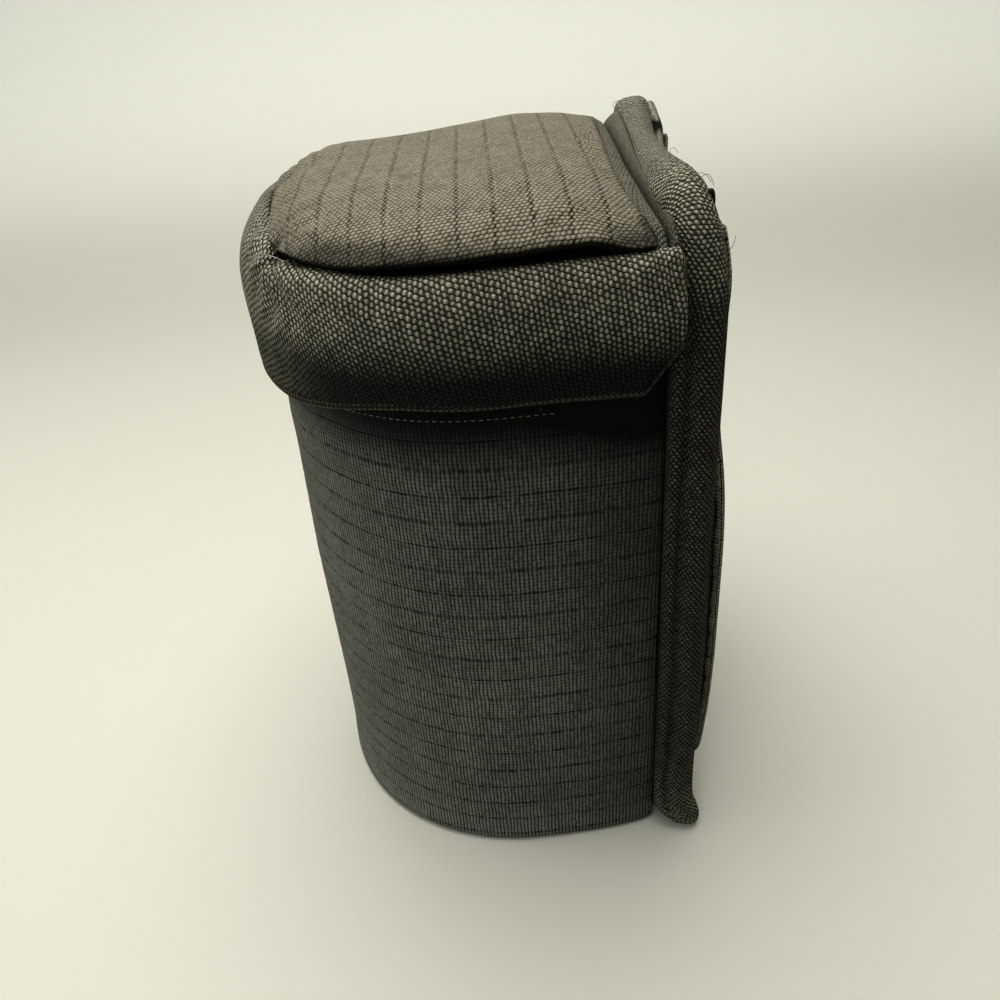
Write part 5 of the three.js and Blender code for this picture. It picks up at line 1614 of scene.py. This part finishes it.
# painted light: the far floor and the wall turn paler and glow a little (emission), keeping the backdrop bright
far_ = ramp(Val(ft, fsx.outputs[0]) * -1.0, 0.30, 0.95)
ft.links.new(mix(ft, far_, (0.49, 0.488, 0.434), (0.82, 0.82, 0.74)), fp.inputs["Base Color"])
fp.inputs["Emission Color"].default_value = (1.0, 0.995, 0.90, 1)
ft.links.new((far_ * 0.22).s, fp.inputs["Emission Strength"])
fp.inputs["Roughness"].default_value = 0.85
fp.inputs["Specular IOR Level"].default_value = 0.15
prof = [(2.5, 0.0), (-0.62, 0.0)]
for k in range(1, 17):
    a_ = math.pi / 2 * k / 16
    prof.append((-0.62 - 0.55 * math.sin(a_), 0.55 - 0.55 * math.cos(a_)))
prof.append((-1.17, 3.0))
fv = [(x_, y_, z_) for x_, z_ in prof for y_ in (-3.0, 3.0)]
ff = [(2 * k, 2 * k + 1, 2 * k + 3, 2 * k + 2) for k in range(len(prof) - 1)]
fl = bpy.data.meshes.new("floor")
fl.from_pydata(fv, [], ff)
fl.polygons.foreach_set("use_smooth", [True] * len(ff))
fl.materials.append(fm)
floor = bpy.data.objects.new("floor", fl)
bpy.context.scene.collection.objects.link(floor)

# the surroundings are bright behind the object and above it, and dim on the near side
world = bpy.data.worlds.new("studio")
bpy.context.scene.world = world
world.use_nodes = True
wt = world.node_tree
bg = wt.nodes["Background"]
wc = wt.nodes.new("ShaderNodeTexCoord")
ws_ = wt.nodes.new("ShaderNodeSeparateXYZ")
wt.links.new(wc.outputs["Generated"], ws_.inputs[0])
side = ramp(Val(wt, ws_.outputs[0]) * -1.0 + Val(wt, ws_.outputs[2]) * 0.75 + Val(wt, ws_.outputs[1]) * -0.45, -0.35, 0.95)
wt.links.new(mix(wt, side, (0.030, 0.036, 0.034), (0.36, 0.36, 0.33)), bg.inputs[0])
bg.inputs[1].default_value = 1.0


def area(name, place, aim, size, power, colour=(1, 1, 1)):
    d = bpy.data.lights.new(name, "AREA")
    d.shape = "RECTANGLE"
    d.size, d.size_y = size
    d.energy = power
    d.color = colour
    o = bpy.data.objects.new(name, d)
    o.location = place
    o.rotation_mode = "QUATERNION"
    o.rotation_quaternion = (Vector(aim) - Vector(place)).to_track_quat("-Z", "Y")
    bpy.context.scene.collection.objects.link(o)


area("key", (-0.03, -0.05, 0.47), (-0.01, -0.01, 0.1), (0.26, 0.32), 2.0, (1.0, 0.965, 0.88))
area("above", (-0.15, 0.0, 1.2), (-0.05, 0.0, 0.0), (0.9, 1.6), 9.0, (1.0, 0.99, 0.93))
area("left", (0.05, -0.62, 0.24), (0, 0, 0.05), (0.40, 0.30), 1.25, (1.0, 0.985, 0.92))
area("front", (0.72, -0.22, 0.60), (0, 0, 0.08), (0.5, 0.5), 1.5, (1.0, 0.985, 0.93))
area("low", (0.34, -0.10, 0.05), (0.0, -0.01, 0.02), (0.10, 0.06), 0.06, (0.80, 0.93, 1.0))
bpy.context.scene.view_settings.view_transform = "Standard"
bpy.context.scene.view_settings.use_curve_mapping = True
tone = bpy.context.scene.view_settings.curve_mapping
for x_, y_ in ((0.008, 0.0042), (0.025, 0.0155), (0.06, 0.050), (0.16, 0.160), (0.5, 0.51)):
    tone.curves[3].points.new(x_, y_)
tone.update()
